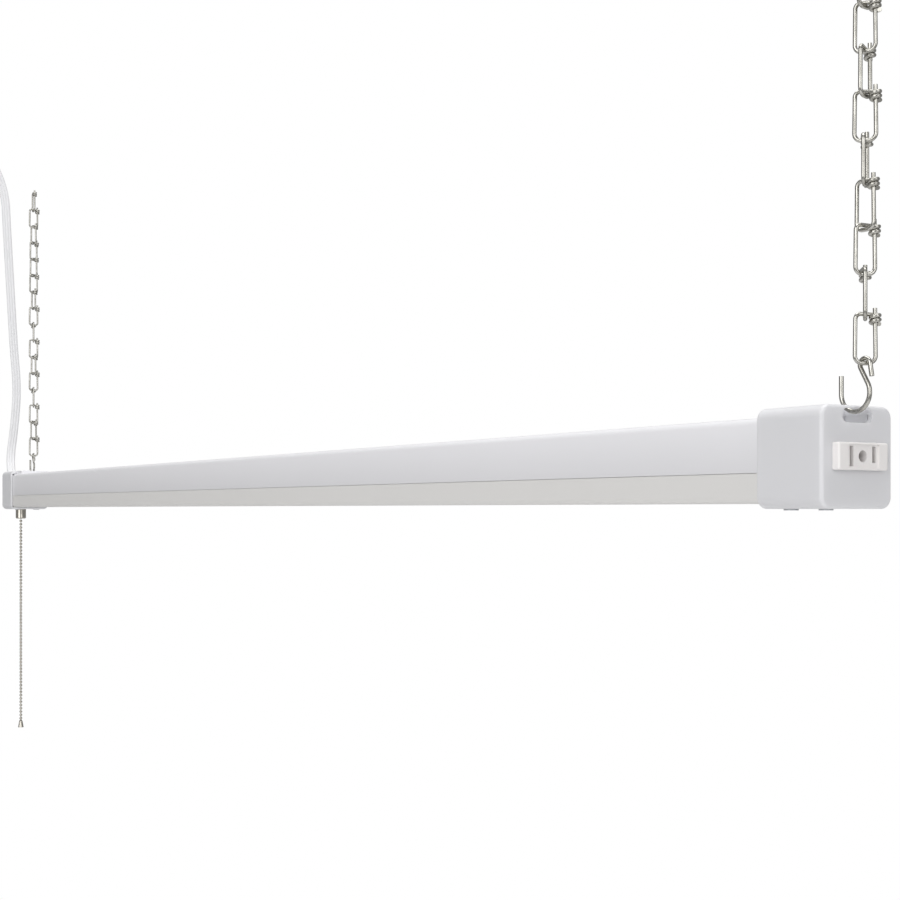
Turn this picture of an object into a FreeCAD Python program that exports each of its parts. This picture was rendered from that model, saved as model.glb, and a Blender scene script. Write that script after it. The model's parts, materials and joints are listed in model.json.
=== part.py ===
"""Linkable LED shop light that hangs from two wire chains.

Row frame, in millimetres: +X runs along the light towards the linking receptacle, +Y away from
the front side, +Z up. The origin lies on the hanging line, the line through the bearing points of
the two top links, above the middle of the light. The light itself is drawn from the underside of
its end caps (z = 0) and then lowered onto its place.
"""

import FreeCAD, Part
import math
import os
import re

import Sketcher

Vector = FreeCAD.Vector

# Driving dimensions: alias, millimetres (or a count, or a formula of the others), what it is.
DIMENSIONS = (
    ("overall_length", 1200, "end face to end face of the caps"),
    ("cap_height", 41, "end cap, bottom to top"),
    ("cap_width", 40, "end cap, front to back"),
    ("cap_depth", 36, "end cap, along the light"),
    ("cap_wall_end", 2.2, "end wall of a cap"),
    ("cap_corner", 4.8, "rounding of a cap's long edges"),
    ("cap_rim", 1.5, "rounding round a cap's two ends"),
    ("cap_overlap", 14, "how far the body runs into a cap"),
    ("body_width", 36, "housing and lens, front to back"),
    ("body_lift", 2.2, "lens underside above the cap underside"),
    ("split_height", 14.8, "parting line of lens and housing"),
    ("body_top", 37.5, "top of the housing"),
    ("fit_gap", 0.2, "clearance of a sliding fit"),
    ("housing_wall", 0.8, "sheet of the housing"),
    ("housing_corner", 3, "rounding of the housing's top edges"),
    ("lens_wall", 1.4, "wall of the lens"),
    ("lens_corner", 2.5, "rounding of the lens's lower edges"),
    ("tongue_wall", 1, "snap tongue of the lens"),
    ("tongue_height", 2.6, "snap tongue above the parting line"),
    ("tray_height", 17.9, "underside of the gear tray"),
    ("tray_wall", 1, "sheet of the gear tray"),
    ("tray_flange", 5, "height of the tray's side flanges"),
    ("board_width", 22, "LED board, front to back"),
    ("board_wall", 1.5, "LED board thickness"),
    ("board_split", 6, "gap between the two LED boards"),
    ("board_inset", 34, "outer end of an LED board from the end face"),
    ("board_length", "=(overall_length - board_split) / 2 - board_inset", "LED board length"),
    ("chip_count", 36, "LED chips on one board"),
    ("chip_length", 3.5, "LED chip along the light"),
    ("chip_width", 2.8, "LED chip across the light"),
    ("chip_height", 0.7, "LED chip thickness"),
    ("rivet_count", 4, "rivets through one board"),
    ("rivet_radius", 1.5, "rivet shank"),
    ("rivet_fit", 0.05, "hole round a rivet shank"),
    ("rivet_head", 2.6, "rivet head radius"),
    ("rivet_head_height", 0.8, "rivet head height"),
    ("rivet_inset", 30, "end rivet to the end of its board"),
    ("bridge_length", 14, "plug-in link between the boards"),
    ("bridge_width", 9, "width of that link"),
    ("bridge_height", 1.6, "thickness of that link"),
    ("driver_length", 240, "driver board along the light"),
    ("driver_width", 21, "driver board width"),
    ("driver_wall", 1.6, "driver board thickness"),
    ("driver_start", 150, "near side of the driver board"),
    ("driver_shift", 2, "driver board off the centre plane"),
    ("standoff_height", 3.1, "driver board above the tray"),
    ("standoff_radius", 2.4, "driver standoff"),
    ("cover_wall", 0.6, "driver cover"),
    ("cover_height", 16.8, "driver cover above the tray"),
    ("cover_margin", 1.5, "driver cover beyond its board"),
    ("transformer_length", 26, "transformer along the light"),
    ("transformer_width", 16, "transformer width"),
    ("transformer_height", 10, "transformer height"),
    ("capacitor_radius", 5, "driver capacitor"),
    ("capacitor_length", 20, "driver capacitor"),
    ("choke_radius", 6.5, "driver choke"),
    ("choke_hole", 2.6, "bore of the choke"),
    ("choke_height", 8, "driver choke"),
    ("block_length", 9, "screw block along the light"),
    ("block_width", 30, "screw block width"),
    ("screw_pitch", 20, "cap screws, centre to centre"),
    ("screw_inset", 26, "cap screws from the end face"),
    ("screw_radius", 1.4, "cap screw shank"),
    ("screw_fit", 0.05, "hole in the screw block round a shank"),
    ("screw_head", 3, "cap screw head radius"),
    ("screw_head_height", 1.8, "cap screw head"),
    ("screw_proud", 0.6, "cap screw head below the cap"),
    ("screw_length", 12, "cap screw above its head"),
    ("hanger_width", 17, "hanger slot, front to back"),
    ("hanger_height", 5.8, "hanger slot in the end wall"),
    ("hanger_opening", 12, "top opening along the light"),
    ("strip_height", 1.1, "strip left above the hanger slot"),
    ("recept_width", 28, "receptacle front"),
    ("recept_height", 11, "receptacle front"),
    ("recept_proud", 3.4, "receptacle front beyond the end wall"),
    ("recept_centre", 20.7, "receptacle centre above the cap underside"),
    ("recept_neck_width", 24, "receptacle neck through the wall"),
    ("recept_neck_height", 9.4, "receptacle neck through the wall"),
    ("recept_neck", 12, "receptacle neck behind the front"),
    ("recept_edge", 0.9, "rounding of the receptacle's edges"),
    ("recess_width", 17.6, "shallow recess round the slots"),
    ("recess_depth", 0.6, "depth of that recess"),
    ("blade_pitch", 12.7, "blade slots, centre to centre"),
    ("blade_slot_width", 2.1, "blade slot"),
    ("blade_slot_tall", 8, "neutral blade slot"),
    ("blade_slot_short", 6.5, "line blade slot"),
    ("earth_radius", 2.4, "round earth hole"),
    ("earth_floor", 2, "receptacle body behind the earth hole"),
    ("contact_wall", 0.5, "contact spring sheet"),
    ("contact_length", 9, "contact spring"),
    ("back_wall", 1.6, "receptacle back cover"),
    ("pull_inset", 12.5, "pull switch from the far end face"),
    ("pull_shift", 3, "pull switch towards the front"),
    ("pull_body_length", 17, "switch body along the light"),
    ("pull_body_width", 18, "switch body width"),
    ("pull_body_height", 13, "switch body height"),
    ("pull_body_lift", 5, "switch body above the cap underside"),
    ("bushing_radius", 5.4, "bushing below the cap"),
    ("bushing_drop", 10.4, "bushing below the cap"),
    ("bushing_neck", 4.4, "threaded neck of the bushing"),
    ("bead_play", 0.3, "bead to the bushing's bore, and wire to the swivel bead"),
    ("bushing_mouth", 3.9, "flared mouth of the bushing"),
    ("bushing_flare", 2.6, "height of that flare"),
    ("bushing_chamfer", 1, "chamfer round the bushing's lower end"),
    ("nut_radius", 6.4, "nut on the bushing, across corners"),
    ("nut_height", 2.4, "nut on the bushing"),
    ("bead_radius", 1.5, "bead of the pull chain"),
    ("bead_neck", 0.45, "wire between beads"),
    ("bead_pitch", 3.6, "bead to bead"),
    ("bead_count", 60, "beads below the swivel bead"),
    ("rod_beads", 4, "beads of the pull rod, inside the bushing"),
    ("swivel_drop", 2.6, "swivel bead below the bushing"),
    ("rod_length", 11, "pull rod above its beads"),
    ("rod_radius", 1.1, "pull rod"),
    ("bell_radius", 2.9, "end bell of the pull chain"),
    ("bell_height", 8, "end bell of the pull chain"),
    ("hook_wire", 1.9, "S-hook wire"),
    ("hook_radius", 7.3, "open bend of the S-hook, at the wire's middle"),
    ("hook_tip", 7.3, "straight tip above the open bend"),
    ("eye_radius", 2.55, "closed eye of the S-hook, at the wire's middle"),
    ("eye_offset", 5, "eye beside the open bend's centre"),
    ("eye_rise", 10.9, "eye above the open bend's centre"),
    ("eye_tail", 5.2, "straight end of the eye"),
    ("hook_clearance", 0.45, "bearing gap of the open bend"),
    ("link_wire", 1.7, "chain wire"),
    ("link_pitch", 17.5, "chain link to chain link"),
    ("link_gap", 0.3, "gap between linked wires"),
    ("link_foot", 4.15, "half width of a link's lower end, at the wire's middle"),
    ("link_head", 3.9, "half width of a link's upper end, at the wire's middle"),
    ("link_foot_bend", 2.9, "bend radius of the lower corners"),
    ("link_head_bend", 2.2, "bend radius of the upper corners"),
    ("knot_radius", 1.62, "knot turns about their leg"),
    ("knot_drop", 1.1, "first knot turn below its corner"),
    ("knot_step", 1.598, "knot turn to knot turn"),
    ("knot_stub", 2.2, "wire end above the knot"),
    ("hook_centre", 1.1, "near hook inside the near end face"),
    ("far_hook_inset", 45.9, "far hook inside the far end face"),
    ("hook_spacing", "=overall_length - hook_centre - far_hook_inset", "near hook to far hook"),
    ("bracket_length", 19.2, "hanger bracket along the light"),
    ("bracket_width", 28, "hanger bracket, front to back"),
    ("bracket_wall", 1, "hanger bracket skirt"),
    ("bar_width", 2.2, "bar that the far hook goes round"),
    ("relief_length", 24, "strain relief outside the cap"),
    ("relief_height", 29, "strain relief above the cap underside"),
    ("relief_shift", 7, "strain relief behind the centre plane"),
    ("relief_flange", 1.8, "flange of the strain relief"),
    ("relief_inner", 1.6, "inner flange of the strain relief"),
    ("relief_margin", 3.5, "flange beyond the cord all round"),
    ("cord_width", 9.5, "flat cord"),
    ("cord_thick", 3.6, "flat cord"),
    ("coil_radius", 50, "coil of the put-away cord"),
    ("coil_step", 10.4, "turn to turn in the coil"),
    ("coil_turns", 3, "turns in the coil"),
    ("coil_height", 455, "coil centre above the cap underside"),
    ("tail_length", 32, "cord between the coil and the plug"),
    ("tie_width", 10, "tie round the coil"),
    ("tie_wall", 1.2, "thickness of the tie"),
    ("tie_play", 0.3, "tie to the turns inside it"),
    ("plug_length", 30, "plug body"),
    ("plug_width", 25, "plug body"),
    ("plug_depth", 19, "plug body"),
    ("plug_corner", 3, "rounding of the plug's upright edges"),
    ("plug_boot", 16, "strain relief of the plug"),
    ("plug_blade", 17, "plug blade length"),
    ("plug_blade_width", 6.3, "plug blade width"),
    ("plug_blade_wall", 1.5, "plug blade thickness"),
    ("plug_pin", 2.35, "plug earth pin radius"),
    ("plug_pin_length", 20.5, "plug earth pin length"),
    ("wire_radius", 1, "insulated wire inside the light"),
    ("wire_bend", 6, "bend radius of an inside wire"),
    ("wire_step", 2.8, "through wire to through wire"),
    ("wire_fan", 4.2, "through wires apart inside the strain relief"),
    ("lead_spread", 3, "driver lead off the board's middle"),
    ("tap_distance", 60, "tap block before the driver"),
    ("tap_length", 16, "tap block along the light"),
    ("tap_wall", 1.1, "wall of the tap block"),
    ("tap_fit", 0.05, "hole in the tap block round a wire"),
)

# Direction in which each link's flat side points, in degrees from +X, lowest link first.
NEAR_TURNS = (60, 132, 68, 4, 122, 40, 105, 25, 95, 165, 80, 150, 65, 140, 70, 0)
FAR_TURNS = (62, 125, 60, 165, 80, 15, 85, 165, 75, 10, 100, 35, 110, 20, 85, 0)

# The cord's route from its strain relief to the coil: how far beyond the far end face, y, and z above
# the cap underside.
CORD_ROUTE = (
    (24.0, 7.0, 29.0),
    (48.0, 7.0, 29.0),
    (69.6, 8.4, 41.5),
    (82.0, 11.0, 63.0),
    (82.6, 15.2, 91.0),
    (81.4, 18.8, 138.0),
    (82.2, 14.8, 186.0),
    (81.8, 12.4, 227.0),
    (82.4, 10.2, 268.0),
    (81.7, 7.0, 320.0),
    (82.2, 4.6, 372.0),
)
COIL_START = (82.0, -22.0)  # beyond the far end face, and y, where the first turn begins
CORD_LAST_RUN = 27.0  # straight run that leads into the coil
RUN_SHARE = 0.45  # share of the shorter run that a bend takes up

doc = FreeCAD.newDocument("hanging_shop_light")
sheet = doc.addObject("Spreadsheet::Sheet", "Sizes")
for row, (alias, number, meaning) in enumerate(DIMENSIONS, start=1):
    sheet.set(f"A{row}", meaning)
    sheet.set(f"B{row}", str(number))
    sheet.setAlias(f"B{row}", alias)
doc.recompute()

WORD = re.compile(r"\b[a-z][a-z_]+\b(?!\()")  # an alias, but not a function's name
SCRATCH_CELL = "D1"
nodes = []


# ---------------------------------------------------------------- reading and binding sizes


def size(text):
    """The value of a formula of the sheet's aliases, as the sheet works it out."""
    sheet.set(SCRATCH_CELL, "=" + text)
    sheet.recompute()
    answer = float(sheet.get(SCRATCH_CELL))
    sheet.clear(SCRATCH_CELL)
    return answer


def bind(thing, prop, text):
    """Bind one property to a formula of the sheet's aliases."""
    thing.setExpression(prop, WORD.sub(lambda word: "Sizes." + word.group(0), text))


def place(thing, corner):
    """Bind the three coordinates of a primitive's position."""
    for axis, text in zip("xyz", corner):
        bind(thing, f"Placement.Base.{axis}", text)


def span(side, inner, outer):
    """Low and high X of a stretch given for the near end, mirrored for the far one."""
    if side == "near":
        return inner, outer
    return f"-({outer})", f"-({inner})"


# ---------------------------------------------------------------- primitives and booleans


def box(name, low, high):
    thing = doc.addObject("Part::Box", name)
    place(thing, low)
    for prop, start, end in zip(("Length", "Width", "Height"), low, high):
        bind(thing, prop, f"({end}) - ({start})")
    return thing


def cylinder(name, radius, length, base, axis="z"):
    """A cylinder that starts at base and runs along +x, +y or +z."""
    turns = {
        "x": FreeCAD.Rotation(Vector(0, 1, 0), 90),
        "y": FreeCAD.Rotation(Vector(1, 0, 0), -90),
        "z": FreeCAD.Rotation(),
    }
    thing = doc.addObject("Part::Cylinder", name)
    thing.Placement = FreeCAD.Placement(Vector(), turns[axis])
    place(thing, base)
    bind(thing, "Radius", radius)
    bind(thing, "Height", length)
    return thing


def fuse(name, *things):
    thing = doc.addObject("Part::MultiFuse", name)
    thing.Shapes = list(things)
    return thing


def cut(name, base, *tools):
    """The base with every tool taken out of it."""
    thing = doc.addObject("Part::Cut", name)
    thing.Base = base
    thing.Tool = tools[0] if len(tools) == 1 else fuse(name + "_tools", *tools)
    return thing


def group(name, *things):
    """Separate solids kept in one node."""
    thing = doc.addObject("Part::Compound", name)
    thing.Links = list(things)
    return thing


def fillet(name, base, radius, chosen):
    """Round the edges for which chosen(edge) is true."""
    doc.recompute()
    thing = doc.addObject("Part::Fillet", name)
    thing.Base = base
    amount = size(radius)
    picked = [n for n, edge in enumerate(base.Shape.Edges, start=1) if chosen(edge)]
    thing.Edges = [(n, amount, amount) for n in picked]
    return thing


def runs_along(edge, axis):
    """True if a straight edge is parallel to the x, y or z axis."""
    extents = (edge.BoundBox.XLength, edge.BoundBox.YLength, edge.BoundBox.ZLength)
    return all((extent > 1e-6) == (letter == axis) for extent, letter in zip(extents, "xyz"))


def lies_at(edge, axis, height):
    """True if the whole edge lies in the plane at that x, y or z."""
    low = getattr(edge.BoundBox, axis.upper() + "Min")
    high = getattr(edge.BoundBox, axis.upper() + "Max")
    return abs(low - height) < 1e-4 and abs(high - height) < 1e-4


def feature(name, shape):
    thing = doc.addObject("Part::Feature", name)
    thing.Shape = shape
    return thing


def keep(label, thing):
    """Hold a finished sub-part under its name and lower it into the row frame."""
    holder = doc.addObject("Part::Compound", "Node_" + label)
    holder.Links = [thing]
    holder.Label = label
    holder.Placement = FreeCAD.Placement(Vector(0, 0, LIGHT_Z), FreeCAD.Rotation())
    nodes.append(holder)


# ---------------------------------------------------------------- PartDesign bodies


def outline_sketch(body, role, outline):
    """A closed sketch of straight lines whose corners are bound to formulas."""
    plane = [item for item in body.Origin.OriginFeatures if item.Role == role][0]
    sketch = body.newObject("Sketcher::SketchObject", body.Name + "_outline")
    sketch.AttachmentSupport = [(plane, "")]
    sketch.MapMode = "FlatFace"
    corners = [Vector(size(across), size(up), 0) for across, up in outline]
    count = len(corners)
    for n, corner in enumerate(corners):
        sketch.addGeometry(Part.LineSegment(corner, corners[(n + 1) % count]), False)
    for n in range(count):
        sketch.addConstraint(Sketcher.Constraint("Coincident", n, 2, (n + 1) % count, 1))
    for n, (corner, texts) in enumerate(zip(corners, outline)):
        for kind, value, text in zip(("DistanceX", "DistanceY"), (corner.x, corner.y), texts):
            index = sketch.addConstraint(Sketcher.Constraint(kind, -1, 1, n, 1, value))
            bind(sketch, f"Constraints[{index}]", text)
    return sketch


def extruded_body(name, outline, length):
    """A section in the YZ plane, padded equally both ways along the light."""
    body = doc.addObject("PartDesign::Body", name)
    pad = body.newObject("PartDesign::Pad", name + "_pad")
    pad.Profile = outline_sketch(body, "YZ_Plane", outline)
    pad.SideType = "Symmetric"
    bind(pad, "Length", length)
    return body


def turned_body(name, outline):
    """A section in the XZ plane (radius, height), turned about the Z axis."""
    body = doc.addObject("PartDesign::Body", name)
    turn = body.newObject("PartDesign::Revolution", name + "_turn")
    turn.Profile = outline_sketch(body, "XZ_Plane", outline)
    turn.ReferenceAxis = (turn.Profile[0], ["V_Axis"])
    turn.Angle = 360
    return body


def body_fillet(body, radius, chosen):
    """Round chosen edges of a body's last feature."""
    doc.recompute()
    tip = body.Tip
    rounding = body.newObject("PartDesign::Fillet", body.Name + "_rounding")
    picked = [f"Edge{n}" for n, edge in enumerate(tip.Shape.Edges, start=1) if chosen(edge)]
    rounding.Base = (tip, picked)
    bind(rounding, "Radius", radius)
    return body


# ---------------------------------------------------------------- wires, tubes and turns


def rounded_path(points, radii, closed=False):
    """Straight runs joined by tangent arcs. radii has one radius for each corner."""
    count = len(points)
    corners = range(count) if closed else range(1, count - 1)
    starts, ends, arcs = list(points), list(points), {}
    for n, radius in zip(corners, radii):
        before = (points[n] - points[n - 1]).normalize()
        after = (points[(n + 1) % count] - points[n]).normalize()
        half_turn = before.getAngle(after) / 2
        reach = radius * math.tan(half_turn)
        starts[n] = points[n] - before * reach
        ends[n] = points[n] + after * reach
        inward = (after - before).normalize()
        middle = points[n] + inward * (radius / math.cos(half_turn) - radius)
        arcs[n] = Part.Arc(starts[n], middle, ends[n]).toShape()
    edges = []
    for n in range(count if closed else count - 1):
        after = (n + 1) % count
        edges.append(Part.LineSegment(ends[n], starts[after]).toShape())
        if after in arcs:
            edges.append(arcs[after])
    return Part.Wire(edges)


def free_radii(points):
    """The largest even bends of a cord's route: one radius for each inner point."""
    radii = []
    for before, corner, after in zip(points, points[1:], points[2:]):
        half_turn = (corner - before).getAngle(after - corner) / 2
        shorter = min((corner - before).Length, (after - corner).Length)
        radii.append(RUN_SHARE * shorter / math.tan(half_turn))
    return radii


def arc_from(start, heading, end):
    """The arc from start to end that leaves along heading, a unit vector."""
    chord = end - start
    along = chord.normalize() if chord.Length else heading
    length = (end - start).Length
    lean = heading.getAngle(along)
    outward = (heading - along * heading.dot(along)).normalize()
    middle = (start + end) * 0.5 + outward * (length / 2 * math.tan(lean / 2))
    return Part.Arc(start, middle, end).toShape()


def biarc(start, heading, end, arrival):
    """Two arcs that share a tangent, from start along heading to end along arrival."""
    gap = end - start
    both = heading + arrival
    spread = 2 * (1 - heading.dot(arrival))
    reach = (-gap.dot(both) + math.sqrt(gap.dot(both) ** 2 + spread * gap.dot(gap))) / spread
    first, last = start + heading * reach, end - arrival * reach
    middle = (first + last) * 0.5
    turn = (last - first).normalize()
    return [arc_from(start, heading, middle), arc_from(middle, turn, end)]


def tube(path, radius):
    """A round wire along a path of lines and arcs."""
    first = path.OrderedEdges[0]
    start, heading = first.valueAt(first.FirstParameter), first.tangentAt(first.FirstParameter)
    section = Part.Wire(Part.makeCircle(radius, start, heading))
    if path.isClosed():
        return Part.Solid(path.makePipe(section).Shells[0])
    return path.makePipeShell([section], True, False)


def flat_section(centre, heading, across):
    """The cord's section: two flats and two round edges, its width along across."""
    up = heading.cross(across).normalize()
    half = size("cord_thick / 2")
    reach = size("cord_width / 2")
    flat = reach - half
    corners = [centre + across * (flat * a) + up * (half * b) for a, b in ((1, 1), (-1, 1))]
    corners += [centre + across * (flat * a) + up * (half * b) for a, b in ((-1, -1), (1, -1))]
    return Part.Wire(
        [
            Part.LineSegment(corners[0], corners[1]).toShape(),
            Part.Arc(corners[1], centre - across * reach, corners[2]).toShape(),
            Part.LineSegment(corners[2], corners[3]).toShape(),
            Part.Arc(corners[3], centre + across * reach, corners[0]).toShape(),
        ]
    )


def flat_cord(path, across):
    """The flat cord along a path, its width starting along across, and its width's last direction."""
    first = path.OrderedEdges[0]
    start, heading = first.valueAt(first.FirstParameter), first.tangentAt(first.FirstParameter)
    across = (across - heading * across.dot(heading)).normalize()
    solid = path.makePipeShell([flat_section(start, heading, across)], True, False)
    last = path.OrderedEdges[-1]
    end = last.valueAt(last.LastParameter)
    end_face = min(solid.Faces, key=lambda face: (face.CenterOfMass - end).Length)
    flat = max(end_face.Edges, key=lambda edge: (edge.Vertexes[0].Point - edge.Vertexes[1].Point).Length)
    last_across = (flat.Vertexes[1].Point - flat.Vertexes[0].Point).normalize()
    if last_across.dot(across) < 0:
        last_across = last_across * -1
    return solid, last_across


def moved(shape, offset, turn=0.0):
    """A copy of a shape, turned about Z and moved."""
    copy = shape.copy()
    copy.Placement = FreeCAD.Placement(offset, FreeCAD.Rotation(Vector(0, 0, 1), turn))
    return copy


# ---------------------------------------------------------------- heights of the suspension

HOOK_INNER_Z = size("cap_height - strip_height - hook_clearance")
HOOK_BEND_Z = HOOK_INNER_Z + size("hook_radius - hook_wire / 2")
EYE_LIFT = size("eye_radius - hook_wire / 2 - link_wire / 2 - fit_gap")
FIRST_LINK_Z = HOOK_BEND_Z + size("eye_rise") + EYE_LIFT
LINK_RISE = size("link_pitch + link_wire + link_gap")
LINK_COUNT = len(NEAR_TURNS)
TOP_LINK_Z = FIRST_LINK_Z + (LINK_COUNT - 1) * size("link_pitch")
HANGING_Z = TOP_LINK_Z + LINK_RISE - size("link_wire / 2")
LIGHT_Z = -HANGING_Z
NEAR_HOOK_X = size("overall_length / 2 - hook_centre")
FAR_HOOK_X = NEAR_HOOK_X - size("hook_spacing")
BODY_LENGTH = "overall_length - 2 * (cap_depth - cap_overlap)"
PULL_X = "pull_inset - overall_length / 2"


# ---------------------------------------------------------------- housing, lens and tray


def make_housing():
    """White channel, open below, with a window under the hanger bracket."""
    half, inner = "body_width / 2", "body_width / 2 - housing_wall"
    top, inner_top = "body_top", "body_top - housing_wall"
    channel = extruded_body(
        "Channel",
        (
            (f"-({half})", "split_height"),
            (f"-({half})", top),
            (half, top),
            (half, "split_height"),
            (inner, "split_height"),
            (inner, inner_top),
            (f"-({inner})", inner_top),
            (f"-({inner})", "split_height"),
        ),
        BODY_LENGTH,
    )
    top_z, inner_z = size(top), size(inner_top)
    side, inner_side = size(half), size(inner)
    body_fillet(
        channel,
        "housing_corner",
        lambda e: runs_along(e, "x") and lies_at(e, "z", top_z) and abs(e.BoundBox.YMin) > side - 1e-4,
    )
    body_fillet(
        channel,
        "housing_corner - housing_wall",
        lambda e: runs_along(e, "x")
        and lies_at(e, "z", inner_z)
        and abs(abs(e.BoundBox.YMin) - inner_side) < 1e-4,
    )
    middle = "overall_length / 2 - hook_centre - hook_spacing"
    reach = "hook_radius + hook_wire"
    window = box(
        "Hook_window",
        (f"{middle} - {reach}", "-hook_wire * 2", f"{inner_top} - 1"),
        (f"{middle} + {reach}", "hook_wire * 2", f"{top} + 1"),
    )
    keep("housing", cut("Housing", channel, window))


def screw_places():
    """Side, X and Y of the four cap screws, as formulas."""
    for side in ("near", "far"):
        x = span(side, "overall_length / 2 - screw_inset", "0")[0 if side == "near" else 1]
        for y in ("-screw_pitch / 2", "screw_pitch / 2"):
            yield side, x, y


def make_lens():
    """Diffuser trough with snap tongues that sit inside the housing's walls."""
    half, inner = "body_width / 2", "body_width / 2 - lens_wall"
    tongue = "body_width / 2 - housing_wall - fit_gap"
    seam = "split_height - fit_gap"
    tip = "split_height + tongue_height"
    low_tongue = f"{tongue} - tongue_wall"
    right = (
        (half, "body_lift"),
        (half, seam),
        (tongue, seam),
        (tongue, tip),
        (low_tongue, tip),
        (low_tongue, f"{seam} - lens_wall"),
        (inner, f"{seam} - lens_wall - tongue_wall"),
        (inner, "body_lift + lens_wall"),
    )
    left = tuple((f"-({across})", up) for across, up in reversed(right))
    trough = extruded_body("Trough", right + left, BODY_LENGTH)
    low, side = size("body_lift"), size(half)
    body_fillet(
        trough,
        "lens_corner",
        lambda e: runs_along(e, "x") and lies_at(e, "z", low) and abs(e.BoundBox.YMin) > side - 1e-4,
    )
    holes = [
        cylinder(f"Lens_hole_{n}", "screw_radius + fit_gap", "lens_wall + 2", (x, y, "body_lift - 1"))
        for n, (_, x, y) in enumerate(screw_places())
    ]
    keep("lens", cut("Lens", trough, *holes))


def rivet_places():
    """X of every board rivet, as formulas."""
    step = "(board_length - 2 * rivet_inset) / (rivet_count - 1)"
    for sign in ("", "-"):
        for n in range(int(size("rivet_count"))):
            yield f"{sign}(board_split / 2 + rivet_inset + {n} * {step})"


def standoff_places():
    """X and Y of the driver standoffs, as formulas."""
    for x in ("driver_start + 6", "driver_start + driver_length - 6"):
        for y in ("driver_shift - driver_width / 2 + 4", "driver_shift + driver_width / 2 - 4"):
            yield x, y


def make_tray():
    """Gear tray that carries the boards below and the driver above."""
    half = "body_width / 2 - housing_wall - fit_gap"
    top = "tray_height + tray_wall"
    tray = extruded_body(
        "Tray_channel",
        (
            (f"-({half})", "tray_height"),
            (half, "tray_height"),
            (half, f"{top} + tray_flange"),
            (f"{half} - tray_wall", f"{top} + tray_flange"),
            (f"{half} - tray_wall", top),
            (f"-({half}) + tray_wall", top),
            (f"-({half}) + tray_wall", f"{top} + tray_flange"),
            (f"-({half})", f"{top} + tray_flange"),
        ),
        BODY_LENGTH,
    )
    holes = [
        cylinder(f"Tray_hole_{n}", "rivet_radius + rivet_fit", "tray_wall + 2", (x, "0", "tray_height - 1"))
        for n, x in enumerate(rivet_places())
    ]
    keep("gear_tray", cut("Tray", tray, *holes))


# ---------------------------------------------------------------- LED boards


def make_boards():
    low, high = "tray_height - board_wall", "tray_height"
    rivets = list(rivet_places())
    per_board = int(size("rivet_count"))
    for side, x_all in (("near", rivets[:per_board]), ("far", rivets[per_board:])):
        start, end = span(side, "board_split / 2", "board_split / 2 + board_length")
        plate = box(
            f"Board_plate_{side}", (start, "-board_width / 2", low), (end, "board_width / 2", high)
        )
        holes = [
            cylinder(
                f"Board_hole_{side}_{n}", "rivet_radius + rivet_fit", "board_wall + 2", (x, "0", f"{low} - 1")
            )
            for n, x in enumerate(x_all)
        ]
        keep(f"led_board_{side}", cut(f"Board_{side}", plate, *holes))
        keep(f"led_chips_{side}", feature(f"Chips_{side}", chip_row(side)))


def chip_row(side):
    """The chips of one board, in one line beside its rivets."""
    count = int(size("chip_count"))
    step = size("board_length") / count
    sign = 1 if side == "near" else -1
    chip = Part.makeBox(size("chip_length"), size("chip_width"), size("chip_height"))
    z = size("tray_height - board_wall - chip_height")
    y = size("rivet_head + fit_gap")
    row = []
    for n in range(count):
        middle = sign * (size("board_split / 2") + (n + 0.5) * step)
        row.append(moved(chip, Vector(middle - size("chip_length / 2"), y, z)))
    return Part.makeCompound(row)


def make_rivets():
    """Rivets with one head under the board and one on the tray."""
    low, high = "tray_height - board_wall", "tray_height + tray_wall"
    rivets = []
    for n, x in enumerate(rivet_places()):
        rivets.append(
            fuse(
                f"Rivet_{n}",
                cylinder(f"Rivet_shank_{n}", "rivet_radius", f"({high}) - ({low})", (x, "0", low)),
                cylinder(
                    f"Rivet_low_head_{n}",
                    "rivet_head",
                    "rivet_head_height",
                    (x, "0", f"{low} - rivet_head_height"),
                ),
                cylinder(f"Rivet_high_head_{n}", "rivet_head", "rivet_head_height", (x, "0", high)),
            )
        )
    keep("board_rivets", group("Rivets", *rivets))


def make_board_link():
    low = "tray_height - board_wall - bridge_height"
    keep(
        "board_link",
        box(
            "Board_link",
            ("-bridge_length / 2", "-bridge_width / 2", low),
            ("bridge_length / 2", "bridge_width / 2", "tray_height - board_wall"),
        ),
    )


# ---------------------------------------------------------------- driver

TRAY_TOP = "tray_height + tray_wall"
BOARD_TOP = f"{TRAY_TOP} + standoff_height + driver_wall"


def make_driver():
    board_low = f"{TRAY_TOP} + standoff_height"
    left, right = "driver_shift - driver_width / 2", "driver_shift + driver_width / 2"
    end = "driver_start + driver_length"
    keep(
        "driver_board", box("Driver_board", ("driver_start", left, board_low), (end, right, BOARD_TOP))
    )
    standoffs = [
        cylinder(f"Standoff_{n}", "standoff_radius", "standoff_height", (x, y, TRAY_TOP))
        for n, (x, y) in enumerate(standoff_places())
    ]
    keep("driver_standoffs", group("Standoffs", *standoffs))
    shell = box(
        "Cover_shell",
        ("driver_start - cover_margin", f"{left} - cover_margin", TRAY_TOP),
        (f"{end} + cover_margin", f"{right} + cover_margin", f"{TRAY_TOP} + cover_height"),
    )
    inside = box(
        "Cover_inside",
        (
            "driver_start - cover_margin + cover_wall",
            f"{left} - cover_margin + cover_wall",
            f"{TRAY_TOP} - 1",
        ),
        (
            f"{end} + cover_margin - cover_wall",
            f"{right} + cover_margin - cover_wall",
            f"{TRAY_TOP} + cover_height - cover_wall",
        ),
    )
    notch = box(
        "Cover_notch",
        ("driver_start - cover_margin - 1", "driver_shift - lead_spread - 1", f"{TRAY_TOP} - 1"),
        ("driver_start - 0.1", "driver_shift + lead_spread + 1", f"{BOARD_TOP} + 0.5"),
    )
    keep("driver_cover", cut("Driver_cover", shell, inside, notch))


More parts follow.
